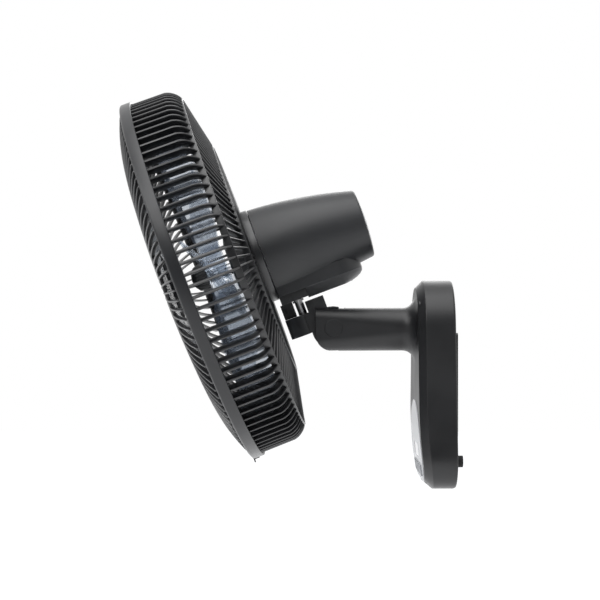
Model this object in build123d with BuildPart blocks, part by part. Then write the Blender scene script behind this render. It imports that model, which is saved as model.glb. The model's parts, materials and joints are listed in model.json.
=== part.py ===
from build123d import *
import math
import os

os.makedirs("parts", exist_ok=True)

# Wall mounted fan. Millimetres, +Z up. The wall is the plane Y = 0 and the fan faces -Y.
# The origin is the centre of the wall bracket's back face.

# ---- driving dimensions: base ----
wall_gap = 6.5               # base's back plane stands this far off the wall
base_depth = 41.6            # back plane to the flat front
base_top = 120.0
base_bottom = -118.0
base_top_radius = 58.0
base_bottom_radius = 264.0   # the bottom is a shallow arc
base_corner_radius = 34.0
base_bottom_half_width = 80.0
base_wall = 2.8
bevel = 8.4                  # width of the slope round the front
rear_round = 2.2             # rounding of the rear outer edge
front_curve_radius = 550.0   # the front bends back below this height
front_curve_top = -18.0
rear_plate = 2.5
rear_plate_fit = 0.3

# ---- wall bracket ----
bracket_width = 36.0
bracket_height = 120.0
bracket_sheet = 2.0
screw_spacing_x = 18.0
screw_spacing_z = 90.0
wall_screw_hole = 2.5
hook_width = 14.0
hook_rise = 8.0
hook_height = 34.0           # hooks stand this far above and below the centre
hook_play = 1.0              # room around a hook in its slot

# ---- arm and tilt hinge ----
arm_centre_z = 64.0
arm_height = 49.0
arm_width = 54.0
arm_root_flare = 15.0
arm_tip_y = -163.0
tilt_y = -142.6
tilt_z = 66.0
knuckle_radius = 24.5
knuckle_flat = 21.5          # the knuckle's top is cut flat this far above the hinge
fork_gap = 32.0
knuckle_width = 29.4
fork_clearance = 1.3
tilt_bolt_radius = 4.0
running_fit = 0.05
cheek_bore_depth = 7.0
cheek_bore_radius = 10.0
cable_way_radius = 8.0

# ---- fan head: its frame is turned down by head_tilt ----
head_tilt = 20.6
ring_centre = (0.0, -297.1, 122.3)   # on the fan axis, level with the rim band's back edge
rim_radius = 216.0
rim_width = 13.0
band_step = 3.0              # the rim band stands this far outside the cage
cage_radius = rim_radius - band_step
cage_taper = 0.8             # the bars' straight part narrows this much to the rear
cage_straight = 39.0         # rearward length of the bars' straight part
outer_bar_count = 108        # from the rim to ring one
middle_bar_count = 120       # from ring one to ring two
inner_bar_count = 84         # from ring two to the hub
front_bar_count = 120
outer_bar_thickness = 3.2
outer_bar_height = 9.4       # bars are fins, this deep
cone_bar_thickness = 2.2
cone_bar_height = 7.2
ring_one_inset = 14.0        # ring one lies this far inside the cage's outside
ring_one_radius = cage_radius - ring_one_inset
ring_one_station = 55.8
ring_two_radius = 136.0
ring_two_station = 69.1
guard_hub_radius = 55.0
guard_hub_station = 69.6
guard_hub_sheet = 3.2
collar_wall = 5.0
front_bulge = 25.0           # the front guard stands this far before the band
badge_radius = 43.0

# ---- motor and its cover ----
cover_front = 79.0
collar_rear = cover_front - 0.4      # the guard hub's collar reaches back to the motor cover
cover_rear = 200.7
cover_front_radius = 54.0
cover_rear_radius = 38.5
cover_rear_drop = 6.8
cover_dome = 3.1
cover_dome_drop = -3.0       # the dome's crown lies this far below the fan axis
cover_swell = 3.3            # the cover's middle is this much wider than a cone
cover_middle_lift = 1.2
cover_rear_round = 3.0
cover_wall = 2.2
pod_half_width = 34.0
pod_rear = 181.0
pod_stern_reach = 27.0       # the stern is half an ellipse, this long
under_flat = 12.0            # half width of the underside's flat bottom
pod_rim = 52.9               # depth of the pod's rim below the fan axis
pod_step = 111.0             # behind this station the underside cover closes the pod
pod_bottom = 64.8
pod_top = 37.6
pod_front_bottom = 62.8
stator_radius = 38.0
stator_bore = 22.5
rotor_radius = 22.0
stack_front = 102.0
stack_rear = 128.0
shaft_radius = 4.0
shaft_front = -6.0
shaft_rear = 161.5
bearing_radius = 8.0
bearing_length = 8.0
snout_radius = 17.0

# ---- swing axis and its crank drive ----
swing_station = 98.0         # the swing axis crosses the fan axis here
swing_shaft_radius = 5.0
neck_drum_radius = 22.3
neck_drum_top = 80.8
neck_bottom = 103.8
neck_back_top = 67.8
neck_back_front = 104.5
neck_back_rear = 126.6
lever_length = 18.0
crank_ratio = 1.5            # crank turns this many times as far as the head
swing_limit = 40.0
crank_distance = 42.0
link_pin_radius = 2.2
link_slack = 1.55            # room in the link's open eye

# ---- blade ----
blade_count = 5
blade_tip_gap = 17.0         # from the blade's tips to the cage's outside
blade_radius = cage_radius - blade_tip_gap
blade_hub_radius = 32.0
blade_front = 10.0
blade_rear = 37.0
blade_skin = 2.2

# ---- control panel ----
panel_skin = 0.8
panel_top = -17.0
panel_bottom = -107.3
panel_half_width = 64.0
button_count = 4
button_pitch = 21.0
button_width = 17.0
button_height = 14.0
button_row_z = -94.5
button_gap = 0.35
button_travel = 0.8
window_width = 42.0
window_height = 15.0
window_z = -73.5

# ---- frames worked out from the sizes above ----
turn = math.radians(head_tilt)
rearward = Vector(0, math.cos(turn), math.sin(turn))
down = Vector(0, math.sin(turn), -math.cos(turn))
sideways = Vector(1, 0, 0)
head_origin = Vector(*ring_centre)
fan_axis = Axis(head_origin, rearward)
# half plane of a turned piece: X is the radius, Y is the distance behind the band
turned = Plane(origin=head_origin, x_dir=sideways, z_dir=down * -1)
# side view of the head: X is the distance behind the band, Y is the depth below the axis
side = Plane(origin=head_origin, x_dir=rearward, z_dir=sideways * -1)
swing_origin = head_origin + rearward * swing_station
hinge = Plane(origin=(0, tilt_y, tilt_z), x_dir=(0, 1, 0), z_dir=(1, 0, 0))


def station(distance):
    """Plane across the fan axis, that far behind the rim band. Its Y points down the head."""
    return Plane(origin=head_origin + rearward * distance, x_dir=sideways, z_dir=rearward)


def depth(amount):
    """Plane across the swing axis, that far below the fan axis. Its Y points rearward."""
    return Plane(origin=swing_origin + down * amount, x_dir=sideways, z_dir=down * -1)


def facing_wall(y):
    """Upright plane at that distance from the wall, facing the room: its X runs to -X."""
    return Plane(origin=(0, y, 0), x_dir=(-1, 0, 0), z_dir=(0, 1, 0))


def save(piece, name):
    """Labels a finished piece and writes it."""
    piece.part.label = name
    export_step(piece.part, f"parts/{name}.step")


def ring_of(plane, outer, inner, length, start=0.0):
    """Plain tube or disc across a plane, from start to start + length."""
    with BuildPart() as tube:
        with BuildSketch(plane.offset(start)):
            Circle(outer)
            if inner > 0:
                Circle(inner, mode=Mode.SUBTRACT)
        extrude(amount=length)
    return tube


cross_width = 0.8
pilot_radius = 1.3           # bore for a self cutting screw's thread


def cross_recess(span):
    """Cross recess of a screw head, that long across, in the open sketch."""
    Rectangle(span, cross_width)
    Rectangle(cross_width, span)


# ======================= base, bracket and arm =======================
back_y = -wall_gap
front_flat_y = back_y - base_depth
plate_front_y = back_y - rear_plate
base_height = base_top - base_bottom
top_circle_z = base_top - base_top_radius
foot_circle_x = base_bottom_half_width - base_corner_radius
bottom_centre_z = base_bottom + base_bottom_radius
foot_reach = base_bottom_radius - base_corner_radius
foot_circle_z = bottom_centre_z - math.sqrt(foot_reach**2 - foot_circle_x**2)
foot_start = math.degrees(math.atan2(foot_circle_z - bottom_centre_z, foot_circle_x))


def front_y(z, inset=0.0):
    """Y of the base's front at height z, or of a skin that far inside it."""
    drop = max(0.0, front_curve_top - z)
    sag = front_curve_radius - math.sqrt(front_curve_radius**2 - drop**2)
    return front_flat_y + sag + inset


def base_outline(plane, inset):
    """Outline of one arc above, two corner arcs and a shallow arc below, and two tangent lines."""
    top, foot = base_top_radius - inset, base_corner_radius - inset
    fall = foot_circle_z - top_circle_z
    lean = math.acos((top - foot) / math.hypot(foot_circle_x, fall))
    lean = math.degrees(lean + math.atan2(fall, foot_circle_x))
    with BuildSketch(plane) as outline:
        with BuildLine():
            corner = CenterArc((foot_circle_x, foot_circle_z), foot, foot_start, lean - foot_start)
            arch = CenterArc((0, top_circle_z), top, lean, 180 - 2 * lean)
            Line(corner @ 1, arch @ 0)
            far = CenterArc((-foot_circle_x, foot_circle_z), foot, 180 - lean, lean - foot_start)
            Line(arch @ 1, far @ 0)
            CenterArc((0, bottom_centre_z), base_bottom_radius - inset, -180 - foot_start,
                      180 + 2 * foot_start)
        make_face()
    return outline


def base_block(inset, rounding=0.0):
    """The base's whole volume, or that of the hollow inside a wall of that thickness."""
    front = front_flat_y + inset
    reach = base_height
    outline = base_outline(facing_wall(back_y), inset)
    with BuildPart() as block:
        extrude(outline.sketch, amount=back_y - front, dir=(0, -1, 0))
        with BuildSketch(Plane.YZ):
            with Locations((front, front_curve_top - reach / 2)):
                Rectangle(2 * base_depth, reach)
            with Locations((front + front_curve_radius, front_curve_top)):
                Circle(front_curve_radius, mode=Mode.SUBTRACT)
        extrude(amount=reach, both=True, mode=Mode.SUBTRACT)
        rim = [e for e in block.edges() if e.center().Y < back_y - base_depth * 0.7
               and abs(e.center().Z - front_curve_top) > 1]
        chamfer(rim, length=bevel)
        if rounding > 0:
            fillet(block.faces().sort_by(Axis.Y)[-1].edges(), rounding)
    return block


post_radius = 4.2
screw_radius = 1.5
screw_head_radius = 3.2
screw_head = 1.8
post_sites = [(x * s, z) for x, z in ((38, 92), (54, 6), (64, -62)) for s in (-1, 1)]
board_width = 78.0
board_height = 82.0
board_middle = 15.0          # height of the control board's middle
board_edge = 6.0             # its posts stand this far inside its edges
board_site_x = board_width / 2 - board_edge
board_site_z = board_height / 2 - board_edge
board_sites = [(s * board_site_x, board_middle + t * board_site_z) for s in (-1, 1) for t in (-1, 1)]
board_post_radius = 3.0
board_rear_y = plate_front_y - 7.0
board_sheet = 1.6
arm_tip_corner = 12.0
arm_root_corner = arm_height / 2 - 0.5
arm_chin_round = 19.0
arm_brow_round = 6.0
fork_floor = 6.0             # the fork slot's flat floor lies this far behind the hinge
fork_front = arm_tip_y - 1.0

with BuildPart() as arm:
    for y, corner in ((arm_tip_y, arm_tip_corner), (front_flat_y, arm_root_corner)):
        with BuildSketch(Plane(origin=(0, y, arm_centre_z), x_dir=(1, 0, 0), z_dir=(0, -1, 0))):
            RectangleRounded(arm_width, arm_height, corner)
    loft(ruled=True)
    with BuildSketch(Plane.YZ):
        with Locations(((arm_tip_y + front_flat_y) / 2, arm_centre_z)):
            tip_box = Rectangle(front_flat_y - arm_tip_y, arm_height)
        lower_tip, upper_tip = tip_box.vertices().group_by(Axis.X)[0].sort_by(Axis.Y)
        fillet(lower_tip, arm_chin_round)
        fillet(upper_tip, arm_brow_round)
    extrude(amount=arm_width, both=True, mode=Mode.INTERSECT)
arm_root_plane = Plane(origin=(0, front_flat_y + 1.0, arm_centre_z), x_dir=(1, 0, 0), z_dir=(0, 1, 0))
with BuildPart() as arm_root:
    with BuildSketch(arm_root_plane):
        RectangleRounded(arm_width, arm_height, arm_root_corner)
    extrude(amount=base_wall - 1.0)

base_solid = base_block(0.0, rear_round)
base_hollow = base_block(base_wall)

# Display window and buttons look along the normals of the bent front.
def panel_plane(z, behind=0.0):
    """Plane touching the bent front at height z: X to the right, Y up the panel, Z outward."""
    slope = math.asin((front_curve_top - z) / front_curve_radius)
    out = Vector(0, -math.cos(slope), -math.sin(slope))
    return Plane(origin=Vector(0, front_y(z), z) - out * behind, x_dir=(1, 0, 0), z_dir=out)


button_plane = panel_plane(button_row_z)
window_plane = panel_plane(window_z)
button_sites = [((i - (button_count - 1) / 2) * button_pitch, 0) for i in range(button_count)]
board_depth = 11.0           # panel board's front, below the outer surface
panel_board_width = 96.0
panel_board_height = 50.0
panel_board_middle = 8.0     # board's centre above the button row
panel_post_x = 43.0
panel_post_y = 20.0
panel_post_sites = [(s * panel_post_x, panel_board_middle + t * panel_post_y)
                    for s in (-1, 1) for t in (-1, 1)]
panel_post_radius = 2.6
key_corner = 3.0             # corner radius of the openings for the window and the buttons

with BuildPart() as base_front:
    add(base_solid.part)
    add(arm.part)
    add(arm_root.part)
    root = [e for e in base_front.edges() if abs(e.center().Y - front_flat_y) < 0.01
            and abs(e.center().Z - arm_centre_z) < arm_height / 2 + 0.1
            and abs(e.center().X) < arm_width / 2 + 0.1]
    fillet(root, arm_root_flare)
    add(base_hollow.part, mode=Mode.SUBTRACT)
    # fork slot round the knuckle
    with BuildSketch(Plane.YZ):
        with Locations((tilt_y, tilt_z)):
            Circle(knuckle_radius + fork_clearance)
        with Locations(((fork_front + tilt_y + fork_floor) / 2, tilt_z)):
            Rectangle(tilt_y + fork_floor - fork_front, 3 * arm_height)
    extrude(amount=fork_gap / 2, both=True, mode=Mode.SUBTRACT)
    # cable way through the arm
    with BuildSketch(Plane(origin=(0, tilt_y, arm_centre_z), x_dir=(1, 0, 0), z_dir=(0, 1, 0))):
        Circle(cable_way_radius)
    extrude(amount=front_flat_y + 2 * base_wall - tilt_y, mode=Mode.SUBTRACT)
    # tilt bolt bore, and the recesses for its head and nut
    with BuildSketch(hinge):
        Circle(tilt_bolt_radius)
    extrude(amount=arm_width, both=True, mode=Mode.SUBTRACT)
    for end in (-1, 1):
        with BuildSketch(hinge.offset(end * arm_width / 2)):
            Circle(cheek_bore_radius)
        extrude(amount=-end * cheek_bore_depth, mode=Mode.SUBTRACT)
    # screw posts for the rear cover
    for x, z in post_sites:
        with BuildSketch(facing_wall(plate_front_y)):
            with Locations((-x, z)):
                Circle(post_radius)
                Circle(screw_radius, mode=Mode.SUBTRACT)
        extrude(amount=front_y(z, base_wall / 2) - plate_front_y)
    # openings for the window and the buttons
    with BuildSketch(window_plane):
        RectangleRounded(window_width, window_height, key_corner)
    extrude(amount=-2 * base_wall, mode=Mode.SUBTRACT)
    with BuildSketch(button_plane):
        with Locations(*button_sites):
            RectangleRounded(button_width, button_height, key_corner)
    extrude(amount=-2 * base_wall, mode=Mode.SUBTRACT)
    # posts that carry the panel board
    with BuildSketch(button_plane.offset(-board_depth)):
        with Locations(*panel_post_sites):
            Circle(panel_post_radius)
    extrude(amount=board_depth - base_wall / 2)
save(base_front, "base_front")

hook_slot = 2 * hook_play + hook_width
slot_drop = hook_rise + bracket_sheet + hook_play
frame_play = 2.0             # room round the bracket inside its frame
frame_inner = (bracket_width + 2 * frame_play, bracket_height + 2 * frame_play)
frame_wall = 3.0
frame_depth = 3.0            # the frame round the bracket stands this far behind the base
lock_z = -bracket_height / 2
lock_block_width = 20.0
lock_block_z = lock_z - bracket_sheet - frame_wall
lock_tab_width = 12.0
lock_head = 1.8
lock_head_radius = 2.4
lock_slot = 0.7
screw_play = 0.3             # room round a screw's shank or head
hook_clearance = 0.3
bracket_corner = 4.0
touch_gap = 0.05             # the rubber buffers nearly touch the wall
pad_height = 16.0            # two pads rest on the bracket this far from its middle
buffer_sites = [(-63.0, -81.6), (63.0, -81.6)]
buffer_radius = 6.5
buffer_stem = 2.5
buffer_barb = 2.0            # barb that holds the buffer inside the plate
inlet_z = -100.0
inlet_radius = 3.6
grommet_radius = 7.5
grommet_waist = 5.6
grommet_lip = 1.5
lock_screw_radius = 1.6
lock_y = -4.0

with BuildPart() as base_rear_cover:
    extrude(base_outline(facing_wall(back_y), base_wall + rear_plate_fit).sketch,
            amount=rear_plate, dir=(0, -1, 0))
    with BuildSketch(facing_wall(back_y)):
        Rectangle(frame_inner[0] + 2 * frame_wall, frame_inner[1] + 2 * frame_wall)
        Rectangle(*frame_inner, mode=Mode.SUBTRACT)
    extrude(amount=frame_depth)
    with BuildSketch(facing_wall(back_y)):
        with Locations((0, lock_z - bracket_sheet - frame_wall / 2)):
            Rectangle(lock_block_width, frame_wall)
    extrude(amount=wall_gap - 0.5)
    with BuildSketch(facing_wall(back_y)):
        with Locations((0, -pad_height), (0, pad_height)):
            Rectangle(bracket_width - 6, frame_wall)
    extrude(amount=wall_gap - bracket_sheet)
    with BuildSketch(facing_wall(back_y)):
        for s in (-1, 1):
            with Locations((0, s * hook_height + bracket_sheet / 2 - slot_drop / 2)):
                Rectangle(hook_slot, slot_drop)
        with Locations(*[(-x, z) for x, z in post_sites]):
            Circle(screw_radius + screw_play)
        with Locations(*buffer_sites):
            Circle(buffer_stem)
        with Locations((0, inlet_z)):
            Circle(grommet_waist)
    extrude(amount=-rear_plate, mode=Mode.SUBTRACT)
    with BuildSketch(facing_wall(back_y)):
        with Locations(*[(-x, z) for x, z in post_sites]):
            Circle(screw_head_radius + screw_play)
    extrude(amount=-screw_head + screw_play, mode=Mode.SUBTRACT)
    with BuildSketch(Plane.XY.offset(lock_block_z - 1)):
        with Locations((0, lock_y)):
            Circle(lock_screw_radius + screw_play)
    extrude(amount=frame_wall + bracket_sheet + 1, mode=Mode.SUBTRACT)
    with BuildSketch(facing_wall(plate_front_y)):
        with Locations(*[(-x, z) for x, z in board_sites]):
            Circle(board_post_radius)
    extrude(amount=board_rear_y - plate_front_y)
save(base_rear_cover, "base_rear_cover")

with BuildPart() as wall_bracket:
    with BuildSketch(facing_wall(-bracket_sheet)):
        RectangleRounded(bracket_width, bracket_height, bracket_corner)
        with GridLocations(screw_spacing_x, screw_spacing_z, 2, 2):
            Circle(wall_screw_hole, mode=Mode.SUBTRACT)
    extrude(amount=bracket_sheet)
    hook_front = plate_front_y - hook_clearance - bracket_sheet
    for s in (-1, 1):
        with BuildSketch(Plane.YZ):
            with Locations(((hook_front - bracket_sheet) / 2, s * hook_height)):
                Rectangle(-hook_front - bracket_sheet, bracket_sheet)
            with Locations((hook_front + bracket_sheet / 2, s * hook_height + hook_rise / 2)):
                Rectangle(bracket_sheet, hook_rise + bracket_sheet)
        extrude(amount=hook_width / 2, both=True)
    with BuildSketch(Plane.XY.offset(lock_z)):
        with Locations((0, back_y / 2 + 0.1)):
            Rectangle(lock_tab_width, wall_gap - 0.2)
        with Locations((0, lock_y)):
            Circle(lock_screw_radius, mode=Mode.SUBTRACT)
    extrude(amount=bracket_sheet)
save(wall_bracket, "wall_bracket")

with BuildPart() as lock_screw:
    with BuildSketch(Plane.XY.offset(lock_block_z)):
        with Locations((0, lock_y)):
            Circle(lock_screw_radius)
    extrude(amount=frame_wall + 2 * bracket_sheet + 1)
    with BuildSketch(Plane.XY.offset(lock_block_z)):
        with Locations((0, lock_y)):
            Circle(lock_head_radius)
            Rectangle(1.5 * lock_head_radius, lock_slot, mode=Mode.SUBTRACT)
    extrude(amount=-lock_head)
save(lock_screw, "bracket_lock_screw")

with BuildPart() as wall_buffers:
    with BuildSketch(facing_wall(back_y)):
        with Locations(*buffer_sites):
            Circle(buffer_radius)
    extrude(amount=wall_gap - touch_gap)
    with BuildSketch(facing_wall(back_y)):
        with Locations(*buffer_sites):
            Circle(buffer_stem)
    extrude(amount=-rear_plate - buffer_barb)
    with BuildSketch(facing_wall(plate_front_y)):
        with Locations(*buffer_sites):
            Circle(buffer_stem + 1.0)
    extrude(amount=-buffer_barb)
save(wall_buffers, "wall_buffers")

with BuildPart() as cable_grommet:
    with BuildSketch(facing_wall(plate_front_y - grommet_lip)):
        with Locations((0, inlet_z)):
            Circle(grommet_radius)
    extrude(amount=grommet_lip)
    with BuildSketch(facing_wall(plate_front_y)):
        with Locations((0, inlet_z)):
            Circle(grommet_waist)
    extrude(amount=rear_plate)
    with BuildSketch(facing_wall(back_y)):
        with Locations((0, inlet_z)):
            Circle(grommet_radius)
    extrude(amount=grommet_lip)
    with BuildSketch(facing_wall(plate_front_y - grommet_lip)):
        with Locations((0, inlet_z)):
            Circle(inlet_radius)
    extrude(amount=rear_plate + 2 * grommet_lip, mode=Mode.SUBTRACT)
save(cable_grommet, "cable_grommet")

base_screw_length = 12.0
with BuildPart() as base_screws:
    head_y = back_y - screw_head + screw_play
    with BuildSketch(facing_wall(head_y)):
        with Locations(*[(-x, z) for x, z in post_sites]):
            Circle(screw_radius)
    extrude(amount=-base_screw_length)
    with BuildSketch(facing_wall(head_y)):
        with Locations(*[(-x, z) for x, z in post_sites]):
            Circle(screw_head_radius)
    extrude(amount=screw_head)
    with BuildSketch(facing_wall(head_y + screw_head)):
        with Locations(*[(-x, z) for x, z in post_sites]):
            cross_recess(screw_head_radius * 1.2)
    extrude(amount=-screw_head / 2, mode=Mode.SUBTRACT)
save(base_screws, "base_screws")

# ======================= electronics and control panel =======================
capacitor_size = (38.0, 18.0)
capacitor_depth = 20.0
capacitor_site = (12.0, 34.0)
# parts on the board: place across and up, width and height, and depth off the board
board_blocks = [
    (0.0, -18.0, 40.0, 9.0, 11.0),       # terminal block
    (-22.0, 24.0, 18.0, 14.0, 14.0),     # relay
    (-22.0, 42.0, 18.0, 14.0, 14.0),     # relay
    (14.0, 8.0, 26.0, 22.0, 17.0),       # small transformer
]
fuse_site = (-24.0, 4.0)
fuse_radius = 4.0
fuse_depth = 12.0

with BuildPart() as control_board:
    with BuildSketch(facing_wall(board_rear_y)):
        with Locations((0, board_middle)):
            Rectangle(board_width, board_height)
    extrude(amount=-board_sheet)
save(control_board, "control_board")
board_top_y = board_rear_y - board_sheet

with BuildPart() as motor_capacitor:
    with BuildSketch(facing_wall(board_top_y)):
        with Locations(capacitor_site):
            RectangleRounded(*capacitor_size, 2.0)
    extrude(amount=-capacitor_depth)
save(motor_capacitor, "motor_capacitor")

with BuildPart() as board_parts:
    for x, z, width, height, reach in board_blocks:
        with BuildSketch(facing_wall(board_top_y)):
            with Locations((x, z)):
                Rectangle(width, height)
        extrude(amount=-reach)
    with BuildSketch(facing_wall(board_top_y)):
        with Locations(fuse_site):
            Circle(fuse_radius)
    extrude(amount=-fuse_depth)
save(board_parts, "board_parts")

with BuildPart() as panel_board:
    with BuildSketch(button_plane.offset(-board_depth)):
        with Locations((0, panel_board_middle)):
            Rectangle(panel_board_width, panel_board_height)
    extrude(amount=-board_sheet)
save(panel_board, "panel_board")

switch_size = 6.0
switch_height = 4.3
switch_plunger = 1.0
switch_plunger_radius = 1.7
with BuildPart() as panel_switches:
    with BuildSketch(button_plane.offset(-board_depth)):
        with Locations(*button_sites):
            Rectangle(switch_size, switch_size)
    extrude(amount=switch_height - switch_plunger)
    with BuildSketch(button_plane.offset(-board_depth + switch_height - switch_plunger)):
        with Locations(*button_sites):
            Circle(switch_plunger_radius)
    extrude(amount=switch_plunger)
save(panel_switches, "panel_switches")

display_frame = 1.0          # the display is this much smaller than its window on each side
display_depth = 5.0
with BuildPart() as display_module:
    with BuildSketch(button_plane.offset(-board_depth)):
        with Locations((0, window_z - button_row_z - display_frame / 2)):
            Rectangle(window_width - 6 * display_frame, window_height - 2 * display_frame)
    extrude(amount=display_depth)
save(display_module, "display_module")

panel_corner = 30.0
panel_corner_arc = 108.0     # degrees of each lower corner's arc
with BuildPart() as control_panel:
    with BuildSketch(Plane.XZ.offset(-front_flat_y)):
        with BuildLine():
            corner_x, corner_z = panel_half_width - panel_corner, panel_bottom + panel_corner
            bottom_arc = CenterArc((corner_x, corner_z), panel_corner, -90, panel_corner_arc)
            far_arc = CenterArc((-corner_x, corner_z), panel_corner, 270 - panel_corner_arc,
                                panel_corner_arc)
            ThreePointArc(bottom_arc @ 1, (0, panel_top), far_arc @ 0)
            Line(far_arc @ 1, bottom_arc @ 0)
        make_face()
    extrude(amount=base_depth, both=True)
    with BuildSketch(Plane.YZ):
        with Locations((front_flat_y + front_curve_radius, front_curve_top)):
            Circle(front_curve_radius + panel_skin)
            Circle(front_curve_radius, mode=Mode.SUBTRACT)
    extrude(amount=base_bottom_half_width, both=True, mode=Mode.INTERSECT)
    with BuildSketch(button_plane.offset(-base_wall)):
        with Locations(*button_sites):
            RectangleRounded(button_width, button_height, key_corner)
    extrude(amount=3 * base_wall, mode=Mode.SUBTRACT)
    with BuildSketch(window_plane.offset(-base_wall)):
        RectangleRounded(window_width, window_height, key_corner)
    extrude(amount=3 * base_wall, mode=Mode.SUBTRACT)
save(control_panel, "control_panel")

window_sink = 0.2            # the window lies this far below the panel's face
window_fit = 0.05
with BuildPart() as display_window:
    with BuildSketch(window_plane.offset(panel_skin - window_sink)):
        RectangleRounded(window_width - 2 * window_fit, window_height - 2 * window_fit, key_corner)
    extrude(amount=-base_wall - panel_skin)
save(display_window, "display_window")

key_rise = 1.2               # the keys stand this far out of the panel
key_edge = 0.6
key_flange = 1.2             # a flange behind the wall, this much wider, keeps each key in
key_flange_sheet = 0.9
key_flange_gap = 0.3
key_stem_radius = 2.0
key_stem_gap = 0.15          # room between a key's stem and its switch, beyond the travel
cap_out = panel_skin + key_rise
flange_depth = base_wall + key_flange_gap
stem_depth = flange_depth + key_flange_sheet
stem_end = board_depth - switch_height - button_travel - key_stem_gap
key_size = (button_width - 2 * button_gap, button_height - 2 * button_gap)
flange_size = (button_width + 2 * key_flange, button_height + 2 * key_flange)
button_names = ["button_power", "button_speed", "button_swing", "button_timer"]
for name, site in zip(button_names, button_sites):
    with BuildPart() as button:
        with BuildSketch(button_plane.offset(cap_out)):
            with Locations(site):
                RectangleRounded(*key_size, key_corner - button_gap)
        extrude(amount=-cap_out - flange_depth)
        fillet(button.faces().sort_by(Axis.Y)[0].edges(), key_edge)
        with BuildSketch(button_plane.offset(-flange_depth)):
            with Locations(site):
                RectangleRounded(*flange_size, key_corner)
        extrude(amount=-key_flange_sheet)
        with BuildSketch(button_plane.offset(-stem_depth)):
            with Locations(site):
                Circle(key_stem_radius)
        extrude(amount=stem_depth - stem_end)
    save(button, name)

# ======================= tilt hinge =======================
bolt_head = 4.2
bolt_seat = arm_width / 2 - cheek_bore_depth
nut_across = 12.0
cap_rise = 0.2
cap_wall = 1.6
cap_play = 0.6               # room over the bolt's head inside its cap
washer_radius = 11.0
washer_play = 0.1

with BuildPart() as tilt_bolt:
    with BuildSketch(hinge.offset(-bolt_seat - bolt_head)):
        Circle(tilt_bolt_radius)
    extrude(amount=2 * bolt_seat + 2 * bolt_head)
    with BuildSketch(hinge.offset(bolt_seat)):
        RegularPolygon(nut_across / 2, 6, major_radius=False)
    extrude(amount=bolt_head)
save(tilt_bolt, "tilt_bolt")

with BuildPart() as tilt_nut:
    with BuildSketch(hinge.offset(-bolt_seat)):
        RegularPolygon(nut_across / 2, 6, major_radius=False)
        Circle(tilt_bolt_radius, mode=Mode.SUBTRACT)
    extrude(amount=-bolt_head)
save(tilt_nut, "tilt_nut")

with BuildPart() as tilt_caps:
    for end in (-1, 1):
        with BuildSketch(hinge.offset(end * (arm_width / 2 + cap_rise))):
            Circle(cheek_bore_radius)
        extrude(amount=-end * (cheek_bore_depth + cap_rise))
        with BuildSketch(hinge.offset(end * bolt_seat)):
            Circle(cheek_bore_radius - cap_wall)
        extrude(amount=end * (bolt_head + cap_play), mode=Mode.SUBTRACT)
save(tilt_caps, "tilt_caps")

washer = (fork_gap - knuckle_width) / 2 - washer_play
with BuildPart() as tilt_washers:
    for end in (-1, 1):
        with BuildSketch(hinge.offset(end * fork_gap / 2)):
            Circle(washer_radius)
            Circle(tilt_bolt_radius, mode=Mode.SUBTRACT)
        extrude(amount=-end * washer)
save(tilt_washers, "tilt_washers")

# ======================= neck =======================
hinge_station = (tilt_y - ring_centre[1]) * math.cos(turn) + (tilt_z - ring_centre[2]) * math.sin(turn)
hinge_depth = (tilt_y - ring_centre[1]) * math.sin(turn) - (tilt_z - ring_centre[2]) * math.cos(turn)
knuckle_flat_start = 6.3     # the knuckle's flat starts this far behind the hinge
swing_nut_recess = 6.0
swing_nut_recess_radius = 9.5
swing_nut_across = 16.0
swing_nut_height = 4.2
swing_shaft_short = 1.5      # the shaft ends this far inside the neck's bottom

with BuildPart() as neck_block:
    with BuildSketch(depth(neck_bottom)):
        Circle(neck_drum_radius)
        with Locations((0, neck_drum_radius)):
            Rectangle(2 * neck_drum_radius, 2 * neck_drum_radius, mode=Mode.SUBTRACT)
    extrude(amount=neck_bottom - neck_drum_top)
    with BuildSketch(side):
        with Locations((hinge_station, hinge_depth)):
            Circle(knuckle_radius)
        with Locations(((swing_station + hinge_station) / 2, (neck_bottom + neck_drum_top) / 2)):
            Rectangle(hinge_station - swing_station, neck_bottom - neck_drum_top)
        with Locations(((neck_back_front + neck_back_rear) / 2, (neck_back_top + hinge_depth) / 2)):
            Rectangle(neck_back_rear - neck_back_front, hinge_depth - neck_back_top)
    extrude(amount=knuckle_width / 2, both=True)
    # the knuckle's top is cut flat
    with BuildSketch(Plane(origin=(0, tilt_y, tilt_z + knuckle_flat), x_dir=(1, 0, 0), z_dir=(0, 0, 1))):
        with Locations((0, knuckle_radius / 2 + knuckle_flat_start)):
            Rectangle(2 * knuckle_width, knuckle_radius)
    extrude(amount=knuckle_radius, mode=Mode.SUBTRACT)
    # tilt bolt bore
    with BuildSketch(hinge):
        Circle(tilt_bolt_radius + running_fit)
    extrude(amount=knuckle_width, both=True, mode=Mode.SUBTRACT)
    # socket of the swing shaft, with a recess below for its nut
    with BuildSketch(depth(neck_drum_top - 1)):
        Circle(swing_shaft_radius)
    extrude(amount=-(neck_bottom - neck_drum_top) - 2, mode=Mode.SUBTRACT)
    with BuildSketch(depth(neck_bottom + 1)):
        Circle(swing_nut_recess_radius)
    extrude(amount=swing_nut_recess + 1, mode=Mode.SUBTRACT)
save(neck_block, "neck_block")

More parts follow.
